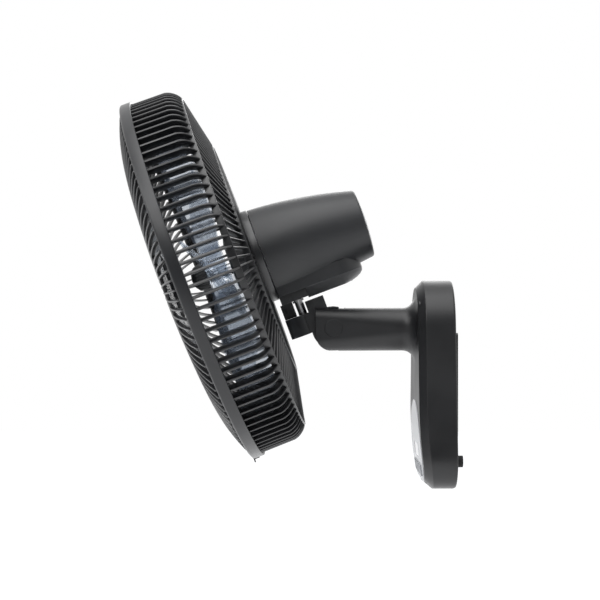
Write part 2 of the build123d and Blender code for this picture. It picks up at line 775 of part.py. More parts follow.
collar_top = pod_front_bottom + 0.3
collar_sheet = 2.2
collar_radius = swing_shaft_radius + 1.8
lever_top = 42.0
lever_sheet = 2.5
lever_wall = 3.5             # lever round the swing shaft
lever_tip_radius = 4.5
shaft_proud = 1.6            # the swing shaft stands this far above its lever
pin_proud = 0.6              # link pins stand this far out of the link
link_top = 44.9
link_sheet = 2.0
crank_top = 47.3
crank_sheet = 2.4
with BuildPart() as swing_shaft:
    with BuildSketch(depth(lever_top - shaft_proud)):
        Circle(swing_shaft_radius)
    extrude(amount=lever_top - shaft_proud + swing_shaft_short - neck_bottom)
    with BuildSketch(depth(collar_top)):
        Circle(collar_radius)
    extrude(amount=-collar_sheet)
save(swing_shaft, "swing_shaft")

with BuildPart() as swing_shaft_nut:
    with BuildSketch(depth(neck_bottom - swing_nut_recess)):
        RegularPolygon(swing_nut_across / 2, 6, major_radius=False)
        Circle(swing_shaft_radius, mode=Mode.SUBTRACT)
    extrude(amount=-swing_nut_height)
save(swing_shaft_nut, "swing_shaft_nut")

with BuildPart() as rocker_lever:
    with BuildSketch(depth(lever_top)):
        with BuildLine():
            big, small = swing_shaft_radius + lever_wall, lever_tip_radius
            lean = math.degrees(math.acos((big - small) / lever_length))
            hub = CenterArc((0, 0), big, -(180 - lean), 2 * (180 - lean))
            tip = CenterArc((-lever_length, 0), small, 180 - lean, 2 * lean)
            Line(hub @ 1, tip @ 0)
            Line(tip @ 1, hub @ 0)
        make_face()
        Circle(swing_shaft_radius, mode=Mode.SUBTRACT)
    extrude(amount=-lever_sheet)
    with BuildSketch(depth(lever_top + lever_sheet)):
        with Locations((-lever_length, 0)):
            Circle(link_pin_radius)
    extrude(amount=lever_top + lever_sheet - link_top - link_sheet - pin_proud)
save(rocker_lever, "rocker_lever")

# ======================= swing drive in the head =======================
swing_angle = math.radians(swing_limit)
crank_angle = math.radians(swing_limit * crank_ratio)
crank_radius = lever_length * math.sin(swing_angle) / math.sin(crank_angle)
# sideways drift of the crank pin against the lever pin, shared out equally by the crank's place
drift = crank_radius * (1 - math.cos(crank_angle)) - lever_length * (1 - math.cos(swing_angle))
crank_x = crank_radius - lever_length - drift / 2
link_x = crank_x - crank_radius
crank_disc_radius = 16.5
drive_can_radius = 15.5
drive_can_length = 6.2
drive_shaft_radius = 2.5
drive_shaft_proud = 0.4      # the drive's shaft stands this far out of the crank disc
drive_gap = 0.8              # between the crank disc and the drive
link_width = 6.0
link_end_radius = 5.0
link_eye_wall = 2.6

with BuildPart() as swing_crank:
    with BuildSketch(depth(crank_top)):
        with Locations((crank_x, crank_distance)):
            Circle(crank_disc_radius)
            Circle(drive_shaft_radius, mode=Mode.SUBTRACT)
    extrude(amount=-crank_sheet)
    with BuildSketch(depth(crank_top)):
        with Locations((link_x, crank_distance)):
            Circle(link_pin_radius)
    extrude(amount=crank_top - link_top + pin_proud)
    with BuildSketch(depth(crank_top)):
        with Locations((crank_x, crank_distance)):
            Circle(drive_shaft_radius)
    extrude(amount=-(crank_sheet + drive_shaft_proud))
save(swing_crank, "swing_crank")

with BuildPart() as swing_link:
    eye_radius = link_pin_radius + link_slack
    with BuildSketch(depth(link_top)):
        with Locations((link_x, crank_distance / 2)):
            Rectangle(link_width, crank_distance)
        with Locations((link_x, crank_distance)):
            Circle(link_end_radius)
        with Locations((link_x, 0)):
            Circle(eye_radius + link_eye_wall)
            Circle(eye_radius, mode=Mode.SUBTRACT)
        with Locations((link_x, crank_distance)):
            Circle(link_pin_radius + running_fit, mode=Mode.SUBTRACT)
    extrude(amount=-link_sheet)
save(swing_link, "swing_link")

with BuildPart() as swing_motor:
    with BuildSketch(depth(crank_top + crank_sheet + drive_gap)):
        with Locations((crank_x, crank_distance)):
            Circle(drive_can_radius)
    extrude(amount=-drive_can_length)
save(swing_motor, "swing_motor")

boss_radius = 11.0
boss_top = 47.5
case_half_width = pod_half_width - cover_wall - 0.3
case_top = pod_front_bottom - 4.0
case_wall = 3.0
post_top = 26.0
bell_radius = 40.0
stop_front = 76.3
stop_rear = swing_station - collar_radius - 0.5
stop_half_width = 8.0
ear_sites = [(-11.0, 115.0 - swing_station), (11.0, 115.0 - swing_station)]
ear_radius = 3.6
ear_sheet = 2.5
ear_root = 7.0               # an ear reaches this far forward into the casting
ear_rib = 3.0
bell_post_length = 15.0
bell_post_station = 90.5
bell_post_width = 4.0
wall_lap = 3.0               # the casting's walls end this far above the pod's rim
stop_gap = 0.3               # between the stop block and the neck
stern_site = (0.0, 163.0 - swing_station)
with BuildPart() as pivot_bracket:
    with BuildSketch(depth(pod_front_bottom)):
        Circle(boss_radius)
    extrude(amount=pod_front_bottom - boss_top)
    with BuildSketch(depth(pod_front_bottom)):
        with Locations((0, (cover_front + pod_step) / 2 - swing_station)):
            Rectangle(2 * case_half_width, pod_step - cover_front)
    extrude(amount=pod_front_bottom - case_top)
    with BuildSketch(depth(pod_front_bottom)):
        for s in (-1, 1):
            bell_post_x = s * (case_half_width - bell_post_width / 2)
            with Locations((bell_post_x, bell_post_station - swing_station)):
                Rectangle(bell_post_width, bell_post_length)
    extrude(amount=pod_front_bottom - post_top)
    # side and front walls of the casting, up inside the pod's rim
    with BuildSketch(depth(pod_front_bottom)):
        with Locations((0, (cover_front + pod_step) / 2 - swing_station)):
            Rectangle(2 * case_half_width, pod_step - cover_front)
        with Locations((0, (cover_front + pod_step) / 2 - swing_station + case_wall)):
            Rectangle(2 * (case_half_width - case_wall), pod_step - cover_front, mode=Mode.SUBTRACT)
    extrude(amount=pod_front_bottom - pod_rim + wall_lap)
    # ears that take the underside cover's front screws
    with BuildSketch(depth(case_top)):
        for x, y in ear_sites:
            with Locations((x, y)):
                Circle(ear_radius)
            with Locations((x, y - ear_root / 2)):
                Rectangle(2 * ear_radius, ear_root)
            with Locations((x, y)):
                Circle(pilot_radius, mode=Mode.SUBTRACT)
    extrude(amount=ear_sheet)
    with BuildSketch(depth(case_top + 0.5)):
        for x, y in ear_sites:
            with Locations((x, y - ear_root + ear_rib / 2)):
                Rectangle(2 * ear_radius, ear_rib)
    extrude(amount=0.5)
    # stop block before the swing shaft
    with BuildSketch(depth(neck_drum_top - stop_gap)):
        with Locations((0, (stop_front + stop_rear) / 2 - swing_station)):
            Rectangle(2 * stop_half_width, stop_rear - stop_front)
    extrude(amount=neck_drum_top - stop_gap - pod_front_bottom)
    with BuildSketch(depth(pod_front_bottom + 1)):
        Circle(swing_shaft_radius + running_fit)
    extrude(amount=pod_front_bottom + 2 - boss_top, mode=Mode.SUBTRACT)
    with BuildSketch(station(cover_front - 1)):
        Circle(bell_radius)
    extrude(amount=pod_step - cover_front + 2, mode=Mode.SUBTRACT)
save(pivot_bracket, "pivot_bracket")

stop_screw_head = 1.8
stop_screw_radius = 3.0
stop_screw_station = stop_front + 3.7
stop_screw_depth = (pod_front_bottom + neck_drum_top) / 2
stop_screw_site = rearward * stop_screw_station + down * stop_screw_depth + sideways * stop_half_width
stop_screw_origin = head_origin + stop_screw_site
stop_screw_plane = Plane(origin=stop_screw_origin, x_dir=rearward, z_dir=sideways)
with BuildPart() as stop_screw:
    with BuildSketch(stop_screw_plane):
        Circle(stop_screw_radius)
    extrude(amount=stop_screw_head)
    with BuildSketch(stop_screw_plane.offset(stop_screw_head)):
        cross_recess(stop_screw_radius * 1.2)
    extrude(amount=-stop_screw_head / 2, mode=Mode.SUBTRACT)
save(stop_screw, "stop_screw")


def turned_piece(outline):
    """A closed outline of radius and station points, turned about the fan axis."""
    with BuildPart() as piece:
        with BuildSketch(turned):
            with BuildLine():
                Polyline(*outline, close=True)
            make_face()
        revolve(axis=fan_axis)
    return piece


# ======================= motor =======================
bearing_hole = shaft_radius + running_fit
front_bearing_at = 64.0
rear_bearing_at = 152.0
snout_front = 62.0
guard_seat_radius = 26.0
front_bell = turned_piece([
    (bearing_radius, snout_front), (snout_radius, snout_front), (snout_radius, guard_hub_station),
    (guard_seat_radius, guard_hub_station), (guard_seat_radius, 77), (bell_radius, 77),
    (bell_radius, stack_front), (stator_radius - 1.5, stack_front), (stator_radius - 1.5, 80),
    (11, 80), (11, 76), (bearing_radius, 76)])
save(front_bell, "motor_front_bell")
rear_bell = turned_piece([
    (stator_radius - 1.5, stack_rear), (stator_radius + 1.5, stack_rear), (stator_radius + 1.5, 133),
    (31, 149), (12, 149), (12, 168), (2, 168), (2, rear_bearing_at + 13),
    (bearing_radius, rear_bearing_at + 13),
    (bearing_radius, 147), (29.5, 147), (stator_radius - 1.5, 132.5)])
save(rear_bell, "motor_rear_bell")
stator_core = ring_of(station(0), stator_radius, stator_bore, stack_rear - stack_front, stack_front)
save(stator_core, "stator_core")
rotor_core = ring_of(station(0), rotor_radius, shaft_radius, stack_rear - stack_front, stack_front)
save(rotor_core, "rotor_core")
coil_width = 9.5
coil_length = 10.0
coil_corner = 3.0
coil_radius = stator_bore + 6.1      # middle of the windings
coil_reach = coil_length / 2 + 0.2
with BuildPart() as stator_coils:
    for start, way in ((stack_front, -1), (stack_rear, 1)):
        with BuildSketch(turned):
            with Locations((coil_radius, start + way * coil_reach)):
                RectangleRounded(coil_width, coil_length, coil_corner)
        revolve(axis=fan_axis)
save(stator_coils, "stator_coils")
front_bearing = ring_of(station(0), bearing_radius, bearing_hole, bearing_length, front_bearing_at)
save(front_bearing, "front_bearing")
rear_bearing = ring_of(station(0), bearing_radius, bearing_hole, bearing_length, rear_bearing_at)
save(rear_bearing, "rear_bearing")
pin_radius = 1.25
pin_station = blade_rear - 4.4
pin_length = 16.0
pin_plane = Plane(origin=head_origin + rearward * pin_station, x_dir=rearward, z_dir=sideways)
with BuildPart() as motor_shaft:
    with BuildSketch(station(shaft_front)):
        Circle(shaft_radius)
    extrude(amount=shaft_rear - shaft_front)
    with BuildSketch(pin_plane):
        Circle(pin_radius)
    extrude(amount=2 * shaft_radius, both=True, mode=Mode.SUBTRACT)
save(motor_shaft, "motor_shaft")
with BuildPart() as drive_pin:
    with BuildSketch(pin_plane):
        Circle(pin_radius)
    extrude(amount=pin_length / 2, both=True)
save(drive_pin, "drive_pin")

# ======================= motor cover and underside cover =======================
def cover_body(inset, front, rounding=0.0):
    """Volume of the cover's round, tapered, domed body, drawn in by inset."""
    dome_radius = (cover_rear_radius**2 + cover_dome**2) / (2 * cover_dome)
    dome_centre = head_origin + rearward * (cover_rear + cover_dome - dome_radius) + down * cover_dome_drop
    with BuildPart() as body:
        with BuildSketch(station(front)):
            Circle(cover_front_radius - inset)
        with BuildSketch(station((cover_front + cover_rear) / 2)):
            with Locations((0, cover_rear_drop / 2 - cover_middle_lift)):
                Circle((cover_front_radius + cover_rear_radius) / 2 - inset + cover_swell)
        with BuildSketch(station(cover_rear + cover_dome + 1)):
            with Locations((0, cover_rear_drop)):
                Circle(cover_rear_radius - inset)
        loft()
        with Locations(dome_centre):
            Sphere(dome_radius - inset, mode=Mode.INTERSECT)
        if rounding > 0:
            fillet(body.faces().sort_by(fan_axis)[-1].edges(), rounding)
    return body


stern = pod_rear - pod_stern_reach


def pod_body(inset, front, top, bottom):
    """Volume of the pod under the cover: straight sides and a round stern, between two depths."""
    with BuildPart() as body:
        with BuildSketch(depth(bottom)):
            with Locations((0, (front + stern) / 2 - swing_station)):
                Rectangle(2 * (pod_half_width - inset), stern - front)
            with Locations((0, stern - swing_station)):
                Ellipse(pod_half_width - inset, pod_stern_reach - inset)
        extrude(amount=bottom - top)
    return body


cover_screw_station = 168.0
cover_post_radius = 5.0
cover_screw_radius = 2.0
cover_screw_head_radius = 3.6
cover_screw_head = 2.2
cover_screw_sink = 2.5       # depth of the recess for the screw's head
stern_post_height = 9.0
with BuildPart() as motor_cover:
    add(cover_body(0, cover_front, cover_rear_round).part)
    add(pod_body(0, cover_front, pod_top, pod_rim).part)
    add(cover_body(cover_wall, cover_front - 1).part, mode=Mode.SUBTRACT)
    add(pod_body(cover_wall, cover_front - 1, 20.0, pod_front_bottom + 1).part, mode=Mode.SUBTRACT)
    # post for the cover's screw, and the pillar for the underside cover's rear screw
    with BuildSketch(station(cover_screw_station)):
        Circle(cover_post_radius)
    extrude(amount=cover_rear + cover_dome / 2 - cover_screw_station)
    with BuildSketch(station(cover_screw_station)):
        Circle(cover_screw_radius)
    extrude(amount=cover_rear + 2 * cover_dome - cover_screw_station, mode=Mode.SUBTRACT)
    with BuildSketch(station(cover_rear - cover_screw_sink)):
        Circle(cover_screw_head_radius + screw_play)
    extrude(amount=cover_screw_sink + 2 * cover_dome, mode=Mode.SUBTRACT)
    with BuildSketch(depth(pod_rim)):
        with Locations(stern_site):
            Circle(ear_radius)
        with Locations((0, (stern_site[1] + pod_rear - cover_wall - swing_station) / 2)):
            Rectangle(frame_wall, pod_rear - cover_wall - swing_station - stern_site[1] + 1)
        with Locations(stern_site):
            Circle(pilot_radius, mode=Mode.SUBTRACT)
    extrude(amount=stern_post_height)
save(motor_cover, "motor_cover")

with BuildPart() as cover_screw:
    with BuildSketch(station(cover_screw_station - cover_screw_sink)):
        Circle(cover_screw_radius)
    extrude(amount=cover_rear - cover_screw_station)
    with BuildSketch(station(cover_rear - cover_screw_sink)):
        Circle(cover_screw_head_radius)
    extrude(amount=cover_screw_head)
    with BuildSketch(station(cover_rear - cover_screw_sink + cover_screw_head)):
        cross_recess(cover_screw_head_radius * 1.1)
    extrude(amount=-cover_screw_head / 2, mode=Mode.SUBTRACT)
save(cover_screw, "cover_screw")

side_run = (pod_half_width - under_flat) / (pod_bottom - pod_rim)   # sideways per depth
stern_steps = (0.0, 0.3, 0.55, 0.75, 0.9, 1.0)   # levels of the stern, as parts of the depth
stern_least_reach = 4.0


def bowl(inset, front):
    """Volume of the underside cover: flat sloping sides, a flat bottom and a rounded stern."""
    rise = pod_bottom - inset - pod_rim
    side_inset = inset * math.hypot(1, side_run)
    bowl_front = front - swing_station
    bowl_stern = stern - swing_station
    with BuildPart() as body:
        for part in stern_steps:
            half = pod_half_width - side_inset - side_run * part * rise
            reach = max((pod_stern_reach - inset) * math.sqrt(1 - part**2), stern_least_reach)
            with BuildSketch(depth(pod_rim + part * rise)):
                with BuildLine():
                    Polyline((-half, bowl_stern), (-half, bowl_front),
                             (half, bowl_front), (half, bowl_stern))
                    EllipticalCenterArc((0, bowl_stern), half, reach, start_angle=0, arc_size=180)
                make_face()
        loft(ruled=True)
    return body


screw_sites = ear_sites + [stern_site]
floor_screw_head = 1.4
floor_screw_radius = 2.6     # of the screw's head
with BuildPart() as underside_cover:
    add(bowl(0, pod_step).part)
    add(bowl(cover_wall, pod_step - 1).part, mode=Mode.SUBTRACT)
    with BuildSketch(depth(pod_bottom - cover_wall + 0.2)):
        with Locations(*ear_sites):
            Circle(ear_radius)
    extrude(amount=pod_bottom - cover_wall + 0.2 - case_top)
    with BuildSketch(depth(pod_bottom - cover_wall + 0.2)):
        with Locations(stern_site):
            Circle(ear_radius - 0.4)
    extrude(amount=pod_bottom - cover_wall + 0.2 - pod_rim)
    with BuildSketch(depth(pod_bottom + 1)):
        with Locations(*screw_sites):
            Circle(pilot_radius + screw_play)
    extrude(amount=pod_bottom - pod_rim + 2, mode=Mode.SUBTRACT)
    with BuildSketch(depth(pod_bottom + 1)):
        with Locations(*screw_sites):
            Circle(floor_screw_radius + screw_play)
    extrude(amount=cover_wall + 1, mode=Mode.SUBTRACT)
save(underside_cover, "underside_cover")

with BuildPart() as underside_screws:
    with BuildSketch(depth(pod_bottom - cover_wall)):
        with Locations(*screw_sites):
            Circle(pilot_radius)
    extrude(amount=pod_bottom - cover_wall - case_top + 2)
    with BuildSketch(depth(pod_bottom - cover_wall)):
        with Locations(stern_site):
            Circle(pilot_radius)
    extrude(amount=pod_bottom - cover_wall - pod_rim + 4)
    with BuildSketch(depth(pod_bottom - cover_wall)):
        with Locations(*screw_sites):
            Circle(floor_screw_radius)
    extrude(amount=-floor_screw_head)
    with BuildSketch(depth(pod_bottom - cover_wall + floor_screw_head)):
        with Locations(*screw_sites):
            cross_recess(floor_screw_radius * 1.2)
    extrude(amount=floor_screw_head / 2, mode=Mode.SUBTRACT)
save(underside_screws, "underside_screws")

# ======================= blade and spinner =======================
blade_mid = 22.0             # station of the leaves' middle
blade_tip_chord = 100.0
blade_tip_plane = math.sqrt(blade_radius**2 - (blade_tip_chord / 2) ** 2)
# radius, chord, pitch in degrees, forward sweep
blade_sections = [
    (blade_hub_radius - 3.0, 36.0, 38.0, 0.0),
    (blade_tip_plane * 0.6, 104.0, 24.0, 6.0),
    (blade_tip_plane, blade_tip_chord, 20.0, 12.0),
]
blade_camber = 5.0


def blade_section(radius, chord, pitch, sweep):
    """Arched strip across one blade: leading edge rearward, so that the air goes to the front."""
    angle = math.radians(pitch)
    along, across = (math.cos(angle), math.sin(angle)), (-math.sin(angle), math.cos(angle))

    def at(u, v):
        return (sweep + along[0] * u + across[0] * v, along[1] * u + across[1] * v)

    plane = Plane(origin=head_origin + rearward * blade_mid + sideways * radius, x_dir=down, z_dir=sideways)
    with BuildSketch(plane) as strip:
        with BuildLine():
            lower = ThreePointArc(at(-chord / 2, 0), at(0, blade_camber), at(chord / 2, 0))
            upper = ThreePointArc(at(-chord / 2, blade_skin), at(0, blade_camber + blade_skin),
                                  at(chord / 2, blade_skin))
            Line(lower @ 0, upper @ 0)
            Line(lower @ 1, upper @ 1)
        make_face()
    return strip.sketch


with BuildPart() as one_blade:
    loft([blade_section(*values) for values in blade_sections])

hub_wall = 2.5
hub_front = blade_front + 1.0
hub_rear = blade_rear - 2.0
hub_boss_radius = 9.5
hub_inner = blade_hub_radius - hub_wall
with BuildPart() as fan_blade:
    with BuildSketch(turned):
        with BuildLine():
            Polyline((shaft_radius, hub_front), (blade_hub_radius - 3, hub_front),
                     (blade_hub_radius, hub_front + 3), (blade_hub_radius, hub_rear),
                     (hub_inner, hub_rear), (hub_inner, hub_front + 2 * hub_wall),
                     (hub_boss_radius, hub_front + hub_wall), (hub_boss_radius, hub_rear),
                     (shaft_radius, hub_rear), close=True)
        make_face()
    revolve(axis=fan_axis)
    add([one_blade.part.rotate(fan_axis, 360 / blade_count * i) for i in range(blade_count)])
    with BuildSketch(station(hub_front + hub_wall + 1)):
        Circle(hub_inner)
        Circle(hub_boss_radius, mode=Mode.SUBTRACT)
    extrude(amount=hub_rear - hub_front, mode=Mode.SUBTRACT)
    # slot for the drive pin
    with BuildSketch(station(pin_station - pin_radius - 0.05)):
        Rectangle(2 * hub_boss_radius + 1, 2 * pin_radius + 0.1)
    extrude(amount=hub_rear, mode=Mode.SUBTRACT)
save(fan_blade, "fan_blade")

spinner_radius = 17.0
spinner = turned_piece([
    (shaft_radius, hub_front), (spinner_radius, hub_front), (spinner_radius, hub_front - 4),
    (14, hub_front - 14), (8, hub_front - 18.5), (0, hub_front - 20), (0, shaft_front),
    (shaft_radius, shaft_front)])
save(spinner, "spinner_nut")

# ======================= guards =======================
ring_inner = cage_radius - 6.2       # inner radius of both guards' rim rings
ring_depth = 6.0
ring_cover = 0.2                     # rings stand this far behind the bars' rear edges
hoop_sheet = 2.2
hoop_one_outer = ring_one_radius + 0.8
hoop_one_front = ring_one_station - 7.2    # the rings are hoops that start at these stations
hoop_two_outer = ring_two_radius + 2.0
hoop_two_front = ring_two_station - 8.1
bar_root = -2.0                      # the bars start inside the rim ring
inner_cage = cage_radius - outer_bar_height
cage_end = cage_radius - cage_taper
corner_point = (cage_end - 5.4, cage_straight + 11.0)
corner_inner = (cage_end - 10.4, cage_straight + 5.6)
cone_slope = (ring_two_station - ring_one_station) / (ring_one_radius - ring_two_radius)


def wire_ring(outline):
    """A ring of that cross-section, given as radius and station points, round the fan axis."""
    with BuildPart() as ring:
        with BuildSketch(turned):
            with BuildLine():
                Polyline(*outline, close=True)
            make_face()
        revolve(axis=fan_axis)
    return ring.part


def box_outline(inner, outer, front, rear):
    """Four corners of a rectangular cross-section."""
    return [(inner, front), (outer, front), (outer, rear), (inner, rear)]


def cone_station(radius):
    """Station of the rear guard's outer face between its two rings."""
    return ring_one_station + (ring_one_radius - radius) * cone_slope


def straight_bar(start, end):
    """Flat fin that reaches forward from a line between two rear points."""
    (first, at_first), (last, at_last) = start, end
    with BuildPart() as bar:
        with BuildSketch(turned):
            with BuildLine():
                Polyline(start, end, (last, at_last - cone_bar_height), (first, at_first - cone_bar_height),
                         close=True)
            make_face()
        extrude(amount=cone_bar_thickness / 2, both=True)
    return bar.part


def bars_round(bar, count):
    """The same bar, count times round the fan axis."""
    return [bar.rotate(fan_axis, 360 / count * i) for i in range(count)]


# outer bar: straight along the cage, then round the corner to ring one
outer_bar_end = (ring_one_radius, ring_one_station)
outer_bar_inner_end = (ring_one_radius - 0.6, hoop_one_front + 0.6)
with BuildPart() as outer_bar:
    with BuildSketch(turned):
        with BuildLine():
            Polyline((inner_cage, bar_root), (cage_radius - ring_cover, bar_root),
                     (cage_end, cage_straight))
            ThreePointArc((cage_end, cage_straight), corner_point, outer_bar_end)
            Line(outer_bar_end, outer_bar_inner_end)
            ThreePointArc(outer_bar_inner_end, corner_inner, (cage_end - outer_bar_height, cage_straight))
            Line((cage_end - outer_bar_height, cage_straight), (inner_cage, bar_root))
        make_face()
    extrude(amount=outer_bar_thickness / 2, both=True)
middle_bar = straight_bar((ring_one_radius - 1.0, cone_station(ring_one_radius - 1.0)),
                          (ring_two_radius + 1.0, cone_station(ring_two_radius + 1.0)))
inner_bar = straight_bar((ring_two_radius, ring_two_station),
                         (guard_hub_radius - 1.0, guard_hub_station + ring_cover))

guard_hub_front = guard_hub_station - guard_hub_sheet
guard_hub_inner = snout_radius + 0.3
with BuildPart() as rear_guard:
    add(wire_ring(box_outline(ring_inner, cage_radius, -ring_depth - 0.1, -0.1)))
    for outer, front in ((hoop_one_outer, hoop_one_front), (hoop_two_outer, hoop_two_front)):
        inner = outer - hoop_sheet
        add(wire_ring(box_outline(inner, outer, front, cone_station(inner) + ring_cover)))
    add(wire_ring(box_outline(guard_hub_inner, guard_hub_radius, guard_hub_front, guard_hub_station)))
    add(wire_ring(box_outline(guard_hub_radius - collar_wall, guard_hub_radius, guard_hub_station - 1.0,
                              collar_rear)))
    add(bars_round(outer_bar.part, outer_bar_count) + bars_round(middle_bar, middle_bar_count)
        + bars_round(inner_bar, inner_bar_count))
save(rear_guard, "rear_guard")

# Front guard. Its bars turn out of the band and lie on two arcs: the shoulder and a shallow dome.
bulge = -rim_width - front_bulge
edge_radius = ring_inner + 0.6
front_bar_height = 5.6
front_bar_thickness = 2.2
inner_edge = edge_radius - front_bar_height
shoulder_radius = cage_radius - 55.0      # the shoulder meets the dome here
shoulder_rise = bulge + 7.8
dome_radius = cage_radius - 103.0         # a point half way along the dome
dome_rise = bulge + 3.0
badge_seat = badge_radius - 1.5
outer_curves = [
    [(edge_radius, -12.4), (edge_radius - 1.0, -15.4), (edge_radius - 3.8, -17.0)],
    [(edge_radius - 3.8, -17.0), (cage_radius - 29.0, bulge + 13.6), (shoulder_radius, shoulder_rise)],
    [(shoulder_radius, shoulder_rise), (dome_radius, dome_rise), (badge_seat, bulge)],
]
inner_curves = [
    [(inner_edge, -8.6), (inner_edge - 0.9, -10.6), (inner_edge - 3.4, -12.0)],
    [(inner_edge - 3.4, -12.0), (cage_radius - 31.0, bulge + 19.1),
     (shoulder_radius, shoulder_rise + front_bar_height)],
    [(shoulder_radius, shoulder_rise + front_bar_height), (dome_radius, dome_rise + front_bar_height),
     (badge_seat, bulge + front_bar_height)],
]
with BuildPart() as front_bar:
    with BuildSketch(turned):
        with BuildLine():
            for curve in outer_curves + inner_curves:
                ThreePointArc(*curve)
            Line(outer_curves[-1][-1], inner_curves[-1][-1])
            Polyline(outer_curves[0][0], (edge_radius, -7.4), (inner_edge, -7.4), inner_curves[0][0])
        make_face()
    extrude(amount=front_bar_thickness / 2, both=True)

with BuildPart() as front_guard:
    add(wire_ring(box_outline(ring_inner, cage_radius, -11.7, -6.3)))
    for radius, front in (outer_curves[1][2], outer_curves[2][1]):
        add(wire_ring(box_outline(radius - 1.5, radius + 1.5, front + 0.7, front + 4.4)))
    add(wire_ring(box_outline(badge_radius - 2.0, badge_radius + 4.0,
                              bulge - ring_cover, bulge + front_bar_height + ring_cover)))
    add(bars_round(front_bar.part, front_bar_count))
save(front_guard, "front_guard")

badge_edge = badge_radius - 2.4
with BuildPart() as front_badge:
    with BuildSketch(turned):
        with BuildLine():
            Line((0, bulge + 1.0), (0, bulge - 2.6))
            ThreePointArc((0, bulge - 2.6), (badge_radius / 2, bulge - 2.0), (badge_edge, bulge - 0.4))
            Polyline((badge_edge, bulge - 0.4), (badge_edge, bulge + 1.0), (0, bulge + 1.0))
        make_face()
    revolve(axis=fan_axis)
    add(wire_ring(box_outline(badge_radius - 4.4, badge_edge, bulge + 0.3, bulge + front_bar_height)))
save(front_badge, "front_badge")

# rim band: a ring that laps over both guards' rims, with a lip in front
lip_inner = ring_inner + 1.0
lip_sheet = 1.2
lip_bevel = 1.5
band_inner = cage_radius + 0.1
band_ring = turned_piece([
    (band_inner, 0), (rim_radius, 0), (rim_radius, -rim_width + lip_bevel),
    (rim_radius - lip_bevel, -rim_width), (lip_inner, -rim_width), (lip_inner, -rim_width + lip_sheet),
    (band_inner, -rim_width + lip_sheet)])

# clip at the bottom of the band, with its screw through the band's lip
clip_sheet = 1.2
clip_width = 10.0
clip_lap = 7.0               # the clip covers this much of the band's front
clip_drop = 5.0              # and hangs this far below the band
clip_gap = 0.3
clip_hook = 6.0              # length of the hook under the band
clip_screw_radius = 1.4
clip_screw_head = 1.4
clip_screw_head_radius = 2.4
clip_front = station(-rim_width - clip_sheet)
clip_screw_at = (0, rim_radius - clip_lap / 2)
with BuildPart() as rim_band:
    add(band_ring.part)
    with BuildSketch(clip_front):
        with Locations(clip_screw_at):
            Circle(clip_screw_radius + running_fit)
    extrude(amount=clip_sheet + lip_sheet + 1, mode=Mode.SUBTRACT)
save(rim_band, "rim_band")

with BuildPart() as rim_clip:
    with BuildSketch(clip_front):
        with Locations((0, rim_radius + (clip_drop - clip_lap) / 2)):
            Rectangle(clip_width, clip_lap + clip_drop)
        with Locations(clip_screw_at):
            Circle(clip_screw_radius + running_fit, mode=Mode.SUBTRACT)
    extrude(amount=clip_sheet)
    with BuildSketch(clip_front):
        with Locations((0, rim_radius + clip_gap + clip_sheet / 2)):
            Rectangle(clip_width, clip_sheet)
    extrude(amount=clip_sheet + clip_hook)
save(rim_clip, "rim_clip")

with BuildPart() as rim_screw:
    with BuildSketch(clip_front):
        with Locations(clip_screw_at):
            Circle(clip_screw_head_radius)
    extrude(amount=-clip_screw_head)
    with BuildSketch(clip_front):
        with Locations(clip_screw_at):
            Circle(clip_screw_radius)
    extrude(amount=clip_sheet + lip_sheet)
    with BuildSketch(clip_front.offset(-clip_screw_head)):
        with Locations(clip_screw_at):
            cross_recess(clip_screw_head_radius * 1.2)
    extrude(amount=clip_screw_head / 2, mode=Mode.SUBTRACT)
save(rim_screw, "rim_screw")

# the cap nut that presses the rear guard against the motor, with sixteen grip flutes
nut_radius = 38.0
nut_wall = 3.0
nut_front = 40.0
nut_step = 47.0
nut_hole = 9.0
nut_slope = 10.0             # the cap's flat front is this much smaller than the nut
nut_flutes = 16
nut_flute_radius = 3.0
nut_inner = nut_radius - nut_wall
nut_body = turned_piece([
    (snout_radius, guard_hub_front), (nut_radius, guard_hub_front), (nut_radius, nut_step),
    (nut_radius - nut_slope / 2, nut_front + nut_wall / 2), (nut_radius - nut_slope, nut_front),
    (nut_hole, nut_front), (nut_hole, nut_front + nut_wall), (nut_inner - nut_slope, nut_front + nut_wall),
    (nut_inner, nut_step + nut_wall), (nut_inner, snout_front), (snout_radius, snout_front)])
with BuildPart() as guard_nut:
    add(nut_body.part)
    with BuildSketch(station(nut_step + nut_wall)):
        with PolarLocations(nut_radius + nut_flute_radius * 0.6, nut_flutes):
            Circle(nut_flute_radius)
    extrude(amount=guard_hub_front - nut_step, mode=Mode.SUBTRACT)
save(guard_nut, "guard_nut")
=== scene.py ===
import json
import math

import bmesh
import bpy
import numpy as np
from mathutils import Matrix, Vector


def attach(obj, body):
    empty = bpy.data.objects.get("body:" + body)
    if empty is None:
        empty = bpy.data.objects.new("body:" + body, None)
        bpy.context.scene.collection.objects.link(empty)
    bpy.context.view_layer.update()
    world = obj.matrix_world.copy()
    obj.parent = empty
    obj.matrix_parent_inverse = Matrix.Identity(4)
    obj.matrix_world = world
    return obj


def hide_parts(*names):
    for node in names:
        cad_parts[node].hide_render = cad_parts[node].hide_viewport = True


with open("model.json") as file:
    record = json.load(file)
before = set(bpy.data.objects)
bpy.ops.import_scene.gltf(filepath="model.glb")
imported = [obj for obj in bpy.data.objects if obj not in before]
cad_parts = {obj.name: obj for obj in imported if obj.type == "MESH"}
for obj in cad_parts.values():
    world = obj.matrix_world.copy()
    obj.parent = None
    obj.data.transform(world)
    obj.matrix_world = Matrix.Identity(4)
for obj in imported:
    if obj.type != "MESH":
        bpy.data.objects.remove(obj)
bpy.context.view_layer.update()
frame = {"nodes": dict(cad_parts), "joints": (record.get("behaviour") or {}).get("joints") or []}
nodes = frame["nodes"]

